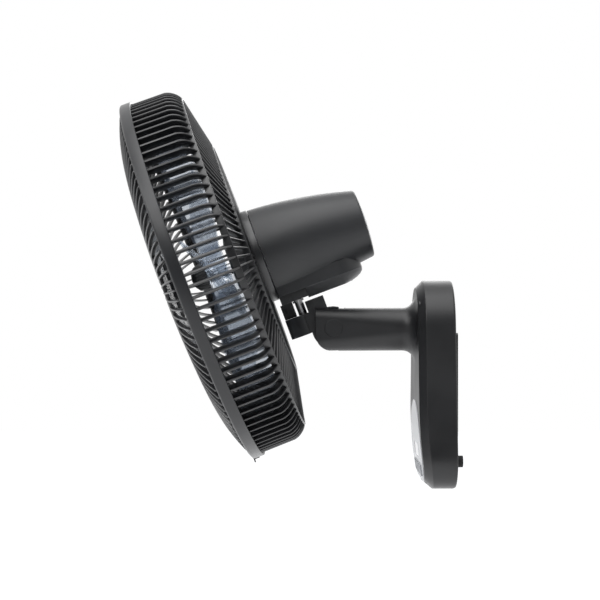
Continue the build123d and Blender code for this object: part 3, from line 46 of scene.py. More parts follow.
# ---------------------------------------------------------------------------
# The camera. It stands 1.62 m from the fan's middle plane, level, and looks
# straight at its side, as a long studio lens does.
camera_place = (1.618, -0.1807, 0.0977)
camera_data = bpy.data.cameras.new("camera")
camera_data.sensor_width = 36.0
camera_data.lens = 84.0
camera = bpy.data.objects.new("camera", camera_data)
camera.location = camera_place
camera.rotation_euler = (math.radians(90.0), 0.0, math.radians(90.0))
bpy.context.collection.objects.link(camera)
bpy.context.scene.camera = camera
bpy.context.scene.view_settings.view_transform = "Standard"

# ---------------------------------------------------------------------------
# The studio: a white floor under the fan and a white room round it, seen as
# plain white, and large soft lamps above, at both sides and high in front.
floor_level = -0.62
floor_half = 6.0
floor_glow = 0.75            # how bright the floor looks where no lamp falls on it
room_far = 1.0               # the room's light on the far side of the fan
room_near = 0.12             # and behind the camera, where it is dark
room_fades_from = 0.3        # X of a direction where the light starts to fall
room_fades_to = 0.9
room_on_plastic = 0.5        # share of the room's light that falls on matt surfaces
world = bpy.data.worlds.new("studio_white")
bpy.context.scene.world = world
world.use_nodes = True
sky = world.node_tree
sky.nodes.clear()
sky_out = sky.nodes.new("ShaderNodeOutputWorld")
sky_mix = sky.nodes.new("ShaderNodeMixShader")
sky_soft = sky.nodes.new("ShaderNodeBackground")
sky_white = sky.nodes.new("ShaderNodeBackground")
sky_path = sky.nodes.new("ShaderNodeLightPath")
sky_way = sky.nodes.new("ShaderNodeTexCoord")
sky_split = sky.nodes.new("ShaderNodeSeparateXYZ")
sky_shade = sky.nodes.new("ShaderNodeMapRange")
sky_glossy = sky.nodes.new("ShaderNodeMixShader")
sky_wall = sky.nodes.new("ShaderNodeBackground")
sky_any = sky.nodes.new("ShaderNodeMath")
sky_dim = sky.nodes.new("ShaderNodeMath")
sky_soft.inputs["Color"].default_value = (0.86, 0.88, 0.92, 1.0)
sky_wall.inputs["Color"].default_value = (1.0, 1.0, 1.0, 1.0)
sky_white.inputs["Color"].default_value = (1.0, 1.0, 1.0, 1.0)
sky_white.inputs["Strength"].default_value = 1.0
sky_shade.inputs["From Min"].default_value = room_fades_from
sky_shade.inputs["From Max"].default_value = room_fades_to
sky_shade.inputs["To Min"].default_value = room_far
sky_shade.inputs["To Max"].default_value = room_near
sky_dim.operation = "MULTIPLY"
sky_dim.inputs[1].default_value = room_on_plastic
sky_any.operation = "MAXIMUM"
sky.links.new(sky_way.outputs["Generated"], sky_split.inputs["Vector"])
sky.links.new(sky_split.outputs["X"], sky_shade.inputs["Value"])
sky.links.new(sky_shade.outputs["Result"], sky_wall.inputs["Strength"])
sky.links.new(sky_shade.outputs["Result"], sky_dim.inputs[0])
sky.links.new(sky_dim.outputs[0], sky_soft.inputs["Strength"])
sky.links.new(sky_path.outputs["Is Glossy Ray"], sky_glossy.inputs[0])
sky.links.new(sky_soft.outputs[0], sky_glossy.inputs[1])
sky.links.new(sky_wall.outputs[0], sky_glossy.inputs[2])
sky.links.new(sky_path.outputs["Is Camera Ray"], sky_any.inputs[0])
sky.links.new(sky_path.outputs["Is Transmission Ray"], sky_any.inputs[1])
sky.links.new(sky_any.outputs[0], sky_mix.inputs[0])
sky.links.new(sky_glossy.outputs[0], sky_mix.inputs[1])
sky.links.new(sky_white.outputs[0], sky_mix.inputs[2])
sky.links.new(sky_mix.outputs[0], sky_out.inputs["Surface"])

floor_mesh = bpy.data.meshes.new("floor")
floor_mesh.from_pydata(
    [(-floor_half, -floor_half, floor_level), (floor_half, -floor_half, floor_level),
     (floor_half, floor_half, floor_level), (-floor_half, floor_half, floor_level)],
    [], [(0, 1, 2, 3)])
floor = bpy.data.objects.new("floor", floor_mesh)
bpy.context.collection.objects.link(floor)
floor_finish = bpy.data.materials.new("floor_white")
floor_finish.use_nodes = True
tree = floor_finish.node_tree
tree.nodes.clear()
out = tree.nodes.new("ShaderNodeOutputMaterial")
paper = tree.nodes.new("ShaderNodeBsdfDiffuse")
glow = tree.nodes.new("ShaderNodeEmission")
both = tree.nodes.new("ShaderNodeAddShader")
path = tree.nodes.new("ShaderNodeLightPath")
seen = tree.nodes.new("ShaderNodeMath")
level = tree.nodes.new("ShaderNodeMath")
paper.inputs["Color"].default_value = (0.86, 0.86, 0.86, 1.0)
seen.operation = "MAXIMUM"
level.operation = "MULTIPLY"
level.inputs[1].default_value = floor_glow
tree.links.new(path.outputs["Is Camera Ray"], seen.inputs[0])
tree.links.new(path.outputs["Is Glossy Ray"], seen.inputs[1])
tree.links.new(seen.outputs[0], level.inputs[0])
tree.links.new(level.outputs[0], glow.inputs["Strength"])
tree.links.new(paper.outputs[0], both.inputs[0])
tree.links.new(glow.outputs[0], both.inputs[1])
tree.links.new(both.outputs[0], out.inputs["Surface"])
floor_mesh.materials.append(floor_finish)


def soft_lamp(name, place, aim, width, height, power):
    """A flat rectangular lamp at a place, turned so that its -Z looks at the aim point."""
    lamp_data = bpy.data.lights.new(name, "AREA")
    lamp_data.shape = "RECTANGLE"
    lamp_data.size = width
    lamp_data.size_y = height
    lamp_data.energy = power
    lamp = bpy.data.objects.new(name, lamp_data)
    lamp.location = place
    sight = np.array(aim) - np.array(place)
    lamp.rotation_euler = Vector(sight).to_track_quat("-Z", "Y").to_euler()
    bpy.context.collection.objects.link(lamp)


fan_middle = (0.0, -0.18, 0.1)
soft_lamp("lamp_above", (0.5, -0.2, 1.7), fan_middle, width=1.6, height=1.6, power=20.0)
soft_lamp("lamp_camera_side", (1.7, -0.9, 1.5), fan_middle, width=1.0, height=1.0, power=12.0)
soft_lamp("lamp_far_side", (-2.0, 0.2, 0.9), fan_middle, width=1.4, height=1.4, power=16.0)
soft_lamp("lamp_front", (0.9, -1.9, 1.2), fan_middle, width=1.2, height=1.0, power=14.0)

# ---------------------------------------------------------------------------
# The wall base: a deep moulded shell with the arm in one piece with it, closed
# at the back by a screwed cover. Black ABS with a fine satin grain.
base_black = (0.0095, 0.0098, 0.011)


def moulded(name, colour, rough, grain=0.12, grain_size=0.0006, edge=0.0006, gloss=0.5,
            coat=0.0):
    """Moulded plastic on Object coordinates. A fine noise as small as the grain size drives a
    bump, a second noise 40 times larger shifts the roughness and the colour by a few percent,
    and edges are rounded in the shading to the edge radius."""
    grains_per_size = 0.5
    cloud_size = 40.0            # the clouds are this many times the grain
    tone_shift = 0.14
    gloss_shift = (-0.04, 0.05)
    finish = bpy.data.materials.new(name)
    finish.use_nodes = True
    tree = finish.node_tree
    skin = tree.nodes["Principled BSDF"]
    where = tree.nodes.new("ShaderNodeTexCoord")
    fine = tree.nodes.new("ShaderNodeTexNoise")
    fine.inputs["Scale"].default_value = grains_per_size / grain_size
    fine.inputs["Detail"].default_value = 2.0
    broad = tree.nodes.new("ShaderNodeTexNoise")
    broad.inputs["Scale"].default_value = grains_per_size / cloud_size / grain_size
    broad.inputs["Detail"].default_value = 3.0
    tone = tree.nodes.new("ShaderNodeMix")
    tone.data_type = "RGBA"
    tone.inputs["A"].default_value = (*[c * (1.0 - tone_shift) for c in colour], 1.0)
    tone.inputs["B"].default_value = (*[c * (1.0 + tone_shift) for c in colour], 1.0)
    matte = tree.nodes.new("ShaderNodeMapRange")
    matte.inputs["From Min"].default_value = 0.3
    matte.inputs["From Max"].default_value = 0.7
    matte.inputs["To Min"].default_value = rough + gloss_shift[0]
    matte.inputs["To Max"].default_value = rough + gloss_shift[1]
    bump = tree.nodes.new("ShaderNodeBump")
    bump.inputs["Strength"].default_value = grain
    bump.inputs["Distance"].default_value = grain_size * 0.2
    tree.links.new(where.outputs["Object"], fine.inputs["Vector"])
    tree.links.new(where.outputs["Object"], broad.inputs["Vector"])
    tree.links.new(broad.outputs["Fac"], tone.inputs["Factor"])
    tree.links.new(broad.outputs["Fac"], matte.inputs["Value"])
    tree.links.new(fine.outputs["Fac"], bump.inputs["Height"])
    if edge > 0:
        rounded = tree.nodes.new("ShaderNodeBevel")
        rounded.samples = 6
        rounded.inputs["Radius"].default_value = edge
        tree.links.new(rounded.outputs["Normal"], bump.inputs["Normal"])
    tree.links.new(tone.outputs["Result"], skin.inputs["Base Color"])
    tree.links.new(matte.outputs["Result"], skin.inputs["Roughness"])
    tree.links.new(bump.outputs["Normal"], skin.inputs["Normal"])
    skin.inputs["Specular IOR Level"].default_value = gloss
    skin.inputs["Coat Weight"].default_value = coat
    return finish


def paint(finish, *names):
    """Gives CAD nodes that finish in every material slot."""
    for name in names:
        mesh = nodes[name].data
        mesh.materials.clear()
        mesh.materials.append(finish)


base_plastic = moulded("base_plastic", base_black, 0.42, edge=0.0012)
paint(base_plastic, "base_front", "base_rear_cover", "tilt_caps")

# ---------------------------------------------------------------------------
# The control panel: a satin silver film on the bent front, with a dark window
# over the display and four grey keys in a row. Printed film, acrylic, ABS.
panel_silver = moulded("panel_silver", (0.60, 0.61, 0.63), 0.34, grain=0.05, grain_size=0.0003,
                       edge=0.0, coat=0.25)
paint(panel_silver, "control_panel")
window_dark = moulded("window_dark", (0.008, 0.008, 0.010), 0.07, grain=0.01, grain_size=0.002,
                      edge=0.0003, coat=0.6)
paint(window_dark, "display_window")
key_grey = moulded("key_grey", (0.36, 0.37, 0.39), 0.45, edge=0.0005)
paint(key_grey, "button_power", "button_speed", "button_swing", "button_timer")

# ---------------------------------------------------------------------------
# Circuit boards, switches, relays and the display behind the panel, and the
# swing drive's crank. Green solder resist and grey moulded housings.
circuit_board = moulded("circuit_board", (0.012, 0.10, 0.045), 0.3, grain=0.2, grain_size=0.0008,
                        edge=0.0, coat=0.3)
paint(circuit_board, "control_board", "panel_board")
component_grey = moulded("component_grey", (0.035, 0.035, 0.040), 0.5, edge=0.0004)
paint(component_grey, "board_parts", "panel_switches", "display_module", "motor_capacitor",
      "swing_crank")

# ---------------------------------------------------------------------------
# Screws, shafts and levers: zinc plated or ground steel. The motor's bells: die
# cast alloy. Laminated stacks show the edges of their sheets.


def metal(name, colour, rough, grain_size=0.0008, stretch=(1.0, 1.0, 1.0), wear=0.1):
    """Bare or plated metal. A noise on Object coordinates, stretched along the axes by the
    factors, shifts the roughness and the colour, and drives a faint bump."""
    clouds_per_size = 0.3
    gloss_shift = 0.08
    edge = 0.0004
    finish = bpy.data.materials.new(name)
    finish.use_nodes = True
    tree = finish.node_tree
    skin = tree.nodes["Principled BSDF"]
    skin.inputs["Metallic"].default_value = 1.0
    where = tree.nodes.new("ShaderNodeTexCoord")
    spread = tree.nodes.new("ShaderNodeMapping")
    spread.inputs["Scale"].default_value = stretch
    cloud = tree.nodes.new("ShaderNodeTexNoise")
    cloud.inputs["Scale"].default_value = clouds_per_size / grain_size
    cloud.inputs["Detail"].default_value = 4.0
    tone = tree.nodes.new("ShaderNodeMix")
    tone.data_type = "RGBA"
    tone.inputs["A"].default_value = (*[c * (1.0 - wear) for c in colour], 1.0)
    tone.inputs["B"].default_value = (*[min(1.0, c * (1.0 + wear)) for c in colour], 1.0)
    matte = tree.nodes.new("ShaderNodeMapRange")
    matte.inputs["From Min"].default_value = 0.3
    matte.inputs["From Max"].default_value = 0.7
    matte.inputs["To Min"].default_value = max(0.05, rough - gloss_shift)
    matte.inputs["To Max"].default_value = rough + gloss_shift
    bump = tree.nodes.new("ShaderNodeBump")
    bump.inputs["Strength"].default_value = 0.08
    bump.inputs["Distance"].default_value = grain_size * 0.15
    rounded = tree.nodes.new("ShaderNodeBevel")
    rounded.samples = 4
    rounded.inputs["Radius"].default_value = edge
    tree.links.new(where.outputs["Object"], spread.inputs["Vector"])
    tree.links.new(spread.outputs["Vector"], cloud.inputs["Vector"])
    tree.links.new(cloud.outputs["Fac"], tone.inputs["Factor"])
    tree.links.new(cloud.outputs["Fac"], matte.inputs["Value"])
    tree.links.new(cloud.outputs["Fac"], bump.inputs["Height"])
    tree.links.new(rounded.outputs["Normal"], bump.inputs["Normal"])
    tree.links.new(tone.outputs["Result"], skin.inputs["Base Color"])
    tree.links.new(matte.outputs["Result"], skin.inputs["Roughness"])
    tree.links.new(bump.outputs["Normal"], skin.inputs["Normal"])
    return finish


steel_bright = metal("steel_bright", (0.62, 0.62, 0.64), 0.24)
paint(steel_bright, "base_screws", "bracket_lock_screw", "tilt_bolt", "tilt_nut", "tilt_washers",
      "swing_shaft_nut", "rocker_lever", "drive_pin", "swing_link")
steel_shaft = metal("steel_shaft", (0.86, 0.86, 0.87), 0.36, grain_size=0.005, wear=0.05)
paint(steel_shaft, "swing_shaft", "motor_shaft")
cast_alloy = metal("cast_alloy", (0.46, 0.46, 0.48), 0.5, grain_size=0.0015, wear=0.18)
paint(cast_alloy, "motor_front_bell", "motor_rear_bell")
laminations = metal("laminations", (0.22, 0.22, 0.24), 0.45, grain_size=0.0006,
                    stretch=(1.0, 6.0, 6.0), wear=0.25)
paint(laminations, "stator_core", "rotor_core", "swing_motor")
copper = metal("copper", (0.60, 0.24, 0.09), 0.35, grain_size=0.0005, stretch=(1.0, 8.0, 8.0),
               wear=0.25)
paint(copper, "stator_coils")
bronze = metal("bronze", (0.50, 0.32, 0.13), 0.42, wear=0.2)
paint(bronze, "front_bearing", "rear_bearing")

# ---------------------------------------------------------------------------
# Black parts of steel: the wall bracket, the bracket inside the head and the
# dark screws, under a thin powder coat.
steel_painted = moulded("steel_painted", (0.016, 0.017, 0.018), 0.38, grain=0.3,
                        grain_size=0.0009)
paint(steel_painted, "wall_bracket", "pivot_bracket", "stop_screw", "cover_screw",
      "underside_screws", "rim_screw")

# ---------------------------------------------------------------------------
# Two soft feet between the base and the wall, and the grommet of the cable
# inlet. Black rubber, dusty matt.
rubber_black = moulded("rubber_black", (0.020, 0.020, 0.021), 0.72, grain=0.35,
                       grain_size=0.0007, edge=0.001, gloss=0.35)
paint(rubber_black, "wall_buffers", "cable_grommet")

# ---------------------------------------------------------------------------
# Motor cover, neck and the guards' nut: charcoal ABS with the base's satin
# texture, a touch lighter. The underside cover is painted a lighter grey than
# the charcoal: a painted reflection of the white floor below it.
charcoal = moulded("charcoal_plastic", (0.0195, 0.0205, 0.0225), 0.44, edge=0.0008)
paint(charcoal, "motor_cover", "neck_block", "guard_nut")
# The underside's lighter grey is painted light: it stands in for the white floor reflected on this
# downward-facing cover.
underside_painted_reflection = moulded("underside_painted_reflection", (0.060, 0.062, 0.064), 0.40, edge=0.0008, gloss=0.6)
paint(underside_painted_reflection, "underside_cover")

# ---------------------------------------------------------------------------
# The rear guard: one moulded basket. Thin bars run straight back from the rim,
# turn in round the corner and go on to the hub across two rings. Black
# polypropylene.
spin = next(j for j in frame["joints"] if j["name"] == "blade_spin")
band_centre = np.array(spin["pos_m"])
behind = np.array(spin["axis"]) / np.linalg.norm(spin["axis"])
across = np.array((1.0, 0.0, 0.0))
below = np.cross(across, behind) * -1.0
mm = 0.001
cage_radius = 213.0 * mm
rim_inner = 206.8 * mm       # inside of both guards' rims
rim_back = -0.1 * mm
rim_front = -6.1 * mm
rim_rounding = 0.8 * mm
cage_end = 212.2 * mm
cage_straight = 39.0 * mm
corner_middle = (206.8 * mm, 50.0 * mm)
corner_points = 9
ring_one = (199.0 * mm, 55.8 * mm)
ring_two = (136.0 * mm, 69.1 * mm)
guard_hub = (55.0 * mm, 69.6 * mm)
guard_hub_hole = 17.3 * mm
hub_sheet = 3.2 * mm
hub_rounding = 0.7 * mm
collar_sheet = 5.0 * mm
collar_rear = 78.4 * mm
outer_bars = 108             # from the rim to ring one
middle_bars = 120            # from ring one to ring two
inner_bars = 84              # from ring two to the hub
rim_bar_width = 3.3 * mm
rim_bar_depth = 9.4 * mm
cone_bar_width = 2.2 * mm
cone_bar_depth = 7.2 * mm
bar_lap = 1.0 * mm           # the bars end this far inside the rings and the hub
ring_cover = 0.2 * mm
hoop_sheet = 2.2 * mm
hoop_rounding = 0.6 * mm
hoops = ((199.8 * mm, 48.6 * mm), (138.0 * mm, 61.0 * mm))    # outer radius and front of each


def round_axis(radius, back, angle):
    """Places at a radius from the fan axis, a distance behind the band's rear edge and an angle
    round the axis. Angle 0 is straight below, a quarter turn is towards +X."""
    radius, back, angle = np.broadcast_arrays(radius, back, angle)
    spoke = below * np.cos(angle)[..., None] + across * np.sin(angle)[..., None]
    return band_centre + behind * back[..., None] + spoke * radius[..., None]


def arc_through(start, middle, end, count):
    """Points along the circle that runs from start through middle to end: its centre is where
    the two chords' upright bisectors meet."""
    start, middle, end = np.array(start), np.array(middle), np.array(end)
    chords = np.array([middle - start, end - middle])
    sums = np.array([start + middle, middle + end])
    centre = np.linalg.solve(chords, np.sum(chords * sums, axis=1) / 2)
    spokes = np.array([start, middle, end]) - centre
    turns = np.unwrap(np.arctan2(spokes[:, 1], spokes[:, 0]))
    angles = np.linspace(turns[0], turns[2], count)
    reach = np.linalg.norm(spokes[0])
    return centre + reach * np.stack([np.cos(angles), np.sin(angles)], axis=1)


def grid_quads(points, closed_along):
    """Quads of stacked grids of points (grid, along, round). Each closes round its section, and
    along itself too if closed_along says so."""
    number = np.arange(np.prod(points.shape[:3])).reshape(points.shape[:3])
    here = number if closed_along else number[:, :-1]
    ahead = np.roll(number, -1, axis=1) if closed_along else number[:, 1:]
    corners = [here, np.roll(here, -1, axis=2), np.roll(ahead, -1, axis=2), ahead]
    quads = np.stack(corners, axis=-1).reshape(-1, 4).tolist()
    if not closed_along:
        quads += number[:, 0, ::-1].tolist() + number[:, -1].tolist()
    return quads


def new_piece(name, grids, finish, sharp=40.0):
    """One object from a list of (points, closed_along) grids. Doubled points are joined, faces
    look outward, and edges that bend more than the sharp angle stay crisp."""
    same_point = 1e-7
    places = []
    quads = []
    for points, closed_along in grids:
        offset = sum(len(p) for p in places)
        quads += [[corner + offset for corner in quad] for quad in grid_quads(points, closed_along)]
        places.append(points.reshape(-1, 3))
    mesh = bpy.data.meshes.new(name)
    mesh.from_pydata(np.concatenate(places).tolist(), [], quads)
    shape = bmesh.new()
    shape.from_mesh(mesh)
    bmesh.ops.remove_doubles(shape, verts=shape.verts, dist=same_point)
    bmesh.ops.recalc_face_normals(shape, faces=shape.faces)
    shape.to_mesh(mesh)
    shape.free()
    mesh.polygons.foreach_set("use_smooth", np.ones(len(mesh.polygons), dtype=bool))
    mesh.set_sharp_from_angle(angle=math.radians(sharp))
    mesh.materials.append(finish)
    piece = bpy.data.objects.new(name, mesh)
    bpy.context.collection.objects.link(piece)
    return piece


def swept_bars(line, count, width, depth, sides=10):
    """Bars round the fan axis. Each follows a line of (radius, back) points with its outer face
    and has a rounded box for a section: a circle whose sine and cosine are raised to a power
    below 1. Width and depth are one number, or one for each point."""
    power = 0.55
    line = np.array(line)
    width = np.broadcast_to(width, len(line))
    depth = np.broadcast_to(depth, len(line))
    heading = np.gradient(line, axis=0)
    heading /= np.linalg.norm(heading, axis=1)[:, None]
    inward = np.stack([heading[:, 1], -heading[:, 0]], axis=1)
    inward *= -np.sign(np.sum(inward * line, axis=1) + 1e-12)[:, None]
    turn = np.arange(sides) * 2 * math.pi / sides + math.pi / sides
    wide = np.sign(np.cos(turn)) * np.abs(np.cos(turn)) ** power * width[:, None] / 2
    deep = (1 - np.sign(np.sin(turn)) * np.abs(np.sin(turn)) ** power) * depth[:, None] / 2
    section = line[:, None, :] + inward[:, None, :] * deep[:, :, None]
    angle = (np.arange(count) * 2 * math.pi / count)[:, None, None]
    places = round_axis(section[None, :, :, 0], section[None, :, :, 1], angle)
    sideways = across * np.cos(angle)[..., None] - below * np.sin(angle)[..., None]
    return places + sideways * wide[None, :, :, None], False


def softened(corners, cut, steps=3):
    """A closed outline with every corner off the axis turned into a short curve, which starts
    and ends the cut length from the corner, or at most 0.45 of an edge from it."""
    most = 0.45
    corners = np.array(corners, dtype=float)
    before = np.roll(corners, 1, axis=0) - corners
    after = np.roll(corners, -1, axis=0) - corners
    outline = []
    for corner, back, on in zip(corners, before, after):
        if corner[0] < 1e-9:
            outline.append(corner)
            continue
        first = corner + back * min(most, cut / np.linalg.norm(back))
        last = corner + on * min(most, cut / np.linalg.norm(on))
        for t in np.linspace(0.0, 1.0, steps + 1):
            outline.append((1 - t) ** 2 * first + 2 * t * (1 - t) * corner + t**2 * last)
    return np.array(outline)


def turned_ring(outline, count=240):
    """A closed outline of (radius, back) points, turned about the fan axis."""
    outline = np.array(outline)
    angle = np.arange(count)[None, :, None] * 2 * math.pi / count
    return round_axis(outline[None, None, :, 0], outline[None, None, :, 1], angle), True


def cone_back(radius):
    """How far back the rear guard's cone lies: it rises evenly from ring one to ring two."""
    slope = (ring_two[1] - ring_one[1]) / (ring_one[0] - ring_two[0])
    return ring_one[1] + (ring_one[0] - radius) * slope


rear_corner = arc_through((cage_end, cage_straight), corner_middle, ring_one, corner_points)
before_corner = [(cage_radius, rim_back - 1.9 * mm), (cage_end, cage_straight - 1.5 * mm)]
outer_line = np.concatenate([before_corner, rear_corner])
thinned = np.append(0.0, np.linspace(0.0, 1.0, corner_points + 1))
outer_width = rim_bar_width + (cone_bar_width - rim_bar_width) * thinned
outer_depth = rim_bar_depth + (cone_bar_depth - rim_bar_depth) * thinned
middle_line = [(r, cone_back(r)) for r in (ring_one[0] - bar_lap, ring_two[0] + bar_lap)]
inner_line = [ring_two, (guard_hub[0] - bar_lap, guard_hub[1] + 0.4 * mm)]
guard_black = moulded("guard_black", (0.010, 0.0104, 0.012), 0.33, grain=0.06, grain_size=0.0005,
                      edge=0.0, gloss=0.7)
rear_rim = softened([(rim_inner, rim_back), (cage_radius, rim_back), (cage_radius, rim_front),
                     (rim_inner, rim_front)], rim_rounding)
cone_rings = []
for outer, front in hoops:
    back = cone_back(outer - hoop_sheet) + ring_cover
    cone_rings.append(turned_ring(softened([
        (outer - hoop_sheet, front), (outer, front), (outer, back), (outer - hoop_sheet, back)],
        hoop_rounding)))
hub_outline = softened([
    (guard_hub_hole, guard_hub[1]), (guard_hub[0] - collar_sheet, guard_hub[1]),
    (guard_hub[0] - collar_sheet, collar_rear), (guard_hub[0], collar_rear),
    (guard_hub[0], guard_hub[1] - hub_sheet), (guard_hub_hole, guard_hub[1] - hub_sheet)],
    hub_rounding)
rear_basket = new_piece("rear_basket", [
    swept_bars(outer_line, outer_bars, outer_width, outer_depth),
    swept_bars(middle_line, middle_bars, cone_bar_width, cone_bar_depth),
    swept_bars(inner_line, inner_bars, cone_bar_width, cone_bar_depth),
    turned_ring(rear_rim), turned_ring(hub_outline, 160), *cone_rings], guard_black)
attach(rear_basket, "head")
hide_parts("rear_guard")

# ---------------------------------------------------------------------------
# The front guard: a shallow dish of bars that turn out of the band and run
# inwards over two thin rings to a wide hub ring. Black polypropylene.
front_bars = 120
dish_edge = 207.4 * mm
front_bar_width = 2.2 * mm
front_bar_depth = 5.4 * mm
shoulder_start = (dish_edge, -12.4 * mm)
shoulder_end = (dish_edge - 3.8 * mm, -17.0 * mm)
dish_break = (158.0 * mm, -30.2 * mm)          # the steep part meets the shallow one here
dish_half = (110.0 * mm, -35.0 * mm)
dish_end = (42.0 * mm, -38.0 * mm)
front_rim_back = -6.3 * mm
front_rim_front = -11.7 * mm
dish_ring_half = 1.5 * mm                      # half the width of each thin ring
dish_ring_front = 0.7 * mm                     # it lies between these depths below the bars' faces
dish_ring_back = 4.4 * mm
hub_ring_inner = 41.0 * mm
hub_ring_outer = 47.0 * mm
hub_ring_front = -38.2 * mm
hub_ring_back = -32.2 * mm
hub_ring_rounding = 1.0 * mm
shoulder = arc_through(shoulder_start, (dish_edge - 1.0 * mm, -15.4 * mm), shoulder_end, 5)
outer_dish = arc_through(shoulder_end, (184.0 * mm, -24.4 * mm), dish_break, 7)
inner_dish = arc_through(dish_break, dish_half, dish_end, 9)
dish_line = np.concatenate([[(dish_edge, -8.0 * mm)], shoulder, outer_dish[1:], inner_dish[1:]])
front_rim = softened([(rim_inner, front_rim_back), (cage_radius, front_rim_back),
                      (cage_radius, front_rim_front), (rim_inner, front_rim_front)], rim_rounding)
dish_rings = [
    softened([(r - dish_ring_half, b + dish_ring_front), (r + dish_ring_half, b + dish_ring_front),
              (r + dish_ring_half, b + dish_ring_back), (r - dish_ring_half, b + dish_ring_back)],
             rim_rounding)
    for r, b in (dish_break, dish_half)]
hub_ring = softened([(hub_ring_inner, hub_ring_front), (hub_ring_outer, hub_ring_front),
                     (hub_ring_outer, hub_ring_back), (hub_ring_inner, hub_ring_back)],
                    hub_ring_rounding)
front_dish = new_piece(
    "front_dish",
    [swept_bars(dish_line, front_bars, front_bar_width, front_bar_depth), turned_ring(front_rim)]
    + [turned_ring(outline) for outline in dish_rings] + [turned_ring(hub_ring, 120)], guard_black)
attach(front_dish, "head")
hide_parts("front_guard")

# ---------------------------------------------------------------------------
# The plain round cap in the middle of the front guard: a shallow dome moulded
# in charcoal ABS, with a skirt that snaps into the guard's hub ring.
cap_edge = 40.6 * mm
cap_skirt = 38.6 * mm
cap_back = -34.8 * mm
cap_inside = -37.0 * mm
crown = arc_through((cap_edge, -38.4 * mm), (21.5 * mm, -40.0 * mm), (0.0, -40.6 * mm), 12)
cap_outline = np.concatenate([
    crown, [(0.0, cap_inside), (cap_skirt, cap_inside), (cap_skirt, cap_back),
            (cap_edge - 0.6 * mm, cap_back), (cap_edge, cap_back - 0.8 * mm),
            (cap_edge, -37.6 * mm)]])
guard_cap = new_piece("guard_cap", [turned_ring(cap_outline, 120)], charcoal)
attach(guard_cap, "head")
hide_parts("front_badge")

# ---------------------------------------------------------------------------
# The band that clamps both guards' rims: one strip with a lip rolled over the
# front, moulded in black polypropylene. The small clip at its foot is CAD.
band_inner = 213.1 * mm
band_outer = 216.0 * mm
band_front = -13.0 * mm
band_lip_inner = 207.8 * mm
band_lip_back = -11.8 * mm
band_bevel = 1.5 * mm
band_rounding = 0.7 * mm
band_black = moulded("band_black", (0.013, 0.0135, 0.0155), 0.34, grain=0.08, grain_size=0.0005,
                     edge=0.0)
band_outline = softened([
    (band_inner, 0.0), (band_outer, 0.0), (band_outer, band_front + band_bevel),
    (band_outer - band_bevel, band_front), (band_lip_inner, band_front),
    (band_lip_inner, band_lip_back), (band_inner, band_lip_back)], band_rounding)
clamp_band = new_piece("clamp_band", [turned_ring(band_outline, 360)], band_black)
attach(clamp_band, "head")
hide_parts("rim_band")
paint(guard_black, "rim_clip")

# ---------------------------------------------------------------------------
# The blade: five broad, arched leaves on a hub, moulded in one from smoky
# translucent SAN. Their leading edges lie at the back, towards the motor.
blade_count = 5
blade_hub = 32.0 * mm
blade_tip = 196.0 * mm
blade_middle = 22.0 * mm
leaf_skin = 2.2 * mm
leaf_camber = 5.0 * mm       # height of the arch where the chord is full
full_chord = 104.0 * mm
root_pitch = 38.0            # degrees against the plane of turning
tip_pitch = 20.0
leaf_sweep = 12.0 * mm
tip_corner = 16.0 * mm
smoke = bpy.data.materials.new("blade_smoke")
smoke.use_nodes = True
tree = smoke.node_tree
skin = tree.nodes["Principled BSDF"]
where = tree.nodes.new("ShaderNodeTexCoord")
haze = tree.nodes.new("ShaderNodeTexNoise")
haze.inputs["Scale"].default_value = 9.0
haze.inputs["Detail"].default_value = 3.0
tint = tree.nodes.new("ShaderNodeMix")
tint.data_type = "RGBA"
tint.inputs["A"].default_value = (0.40, 0.45, 0.53, 1.0)
tint.inputs["B"].default_value = (0.55, 0.60, 0.68, 1.0)
clear = tree.nodes.new("ShaderNodeBsdfTransparent")
clear.inputs["Color"].default_value = (0.90, 0.925, 0.955, 1.0)
glance = tree.nodes.new("ShaderNodeLayerWeight")
glance.inputs["Blend"].default_value = 0.45
veil = tree.nodes.new("ShaderNodeMapRange")
veil.inputs["To Min"].default_value = 0.92
veil.inputs["To Max"].default_value = 0.60
through = tree.nodes.new("ShaderNodeMixShader")
skin.inputs["Roughness"].default_value = 0.10
skin.inputs["IOR"].default_value = 1.57
skin.inputs["Coat Weight"].default_value = 0.5
skin.inputs["Coat Roughness"].default_value = 0.04
tree.links.new(glance.outputs["Fresnel"], veil.inputs["Value"])
tree.links.new(veil.outputs["Result"], through.inputs["Fac"])
tree.links.new(where.outputs["Object"], haze.inputs["Vector"])
tree.links.new(haze.outputs["Fac"], tint.inputs["Factor"])
tree.links.new(tint.outputs["Result"], skin.inputs["Base Color"])
tree.links.new(skin.outputs["BSDF"], through.inputs[1])
tree.links.new(clear.outputs["BSDF"], through.inputs[2])
tree.links.new(through.outputs["Shader"], tree.nodes["Material Output"].inputs["Surface"])


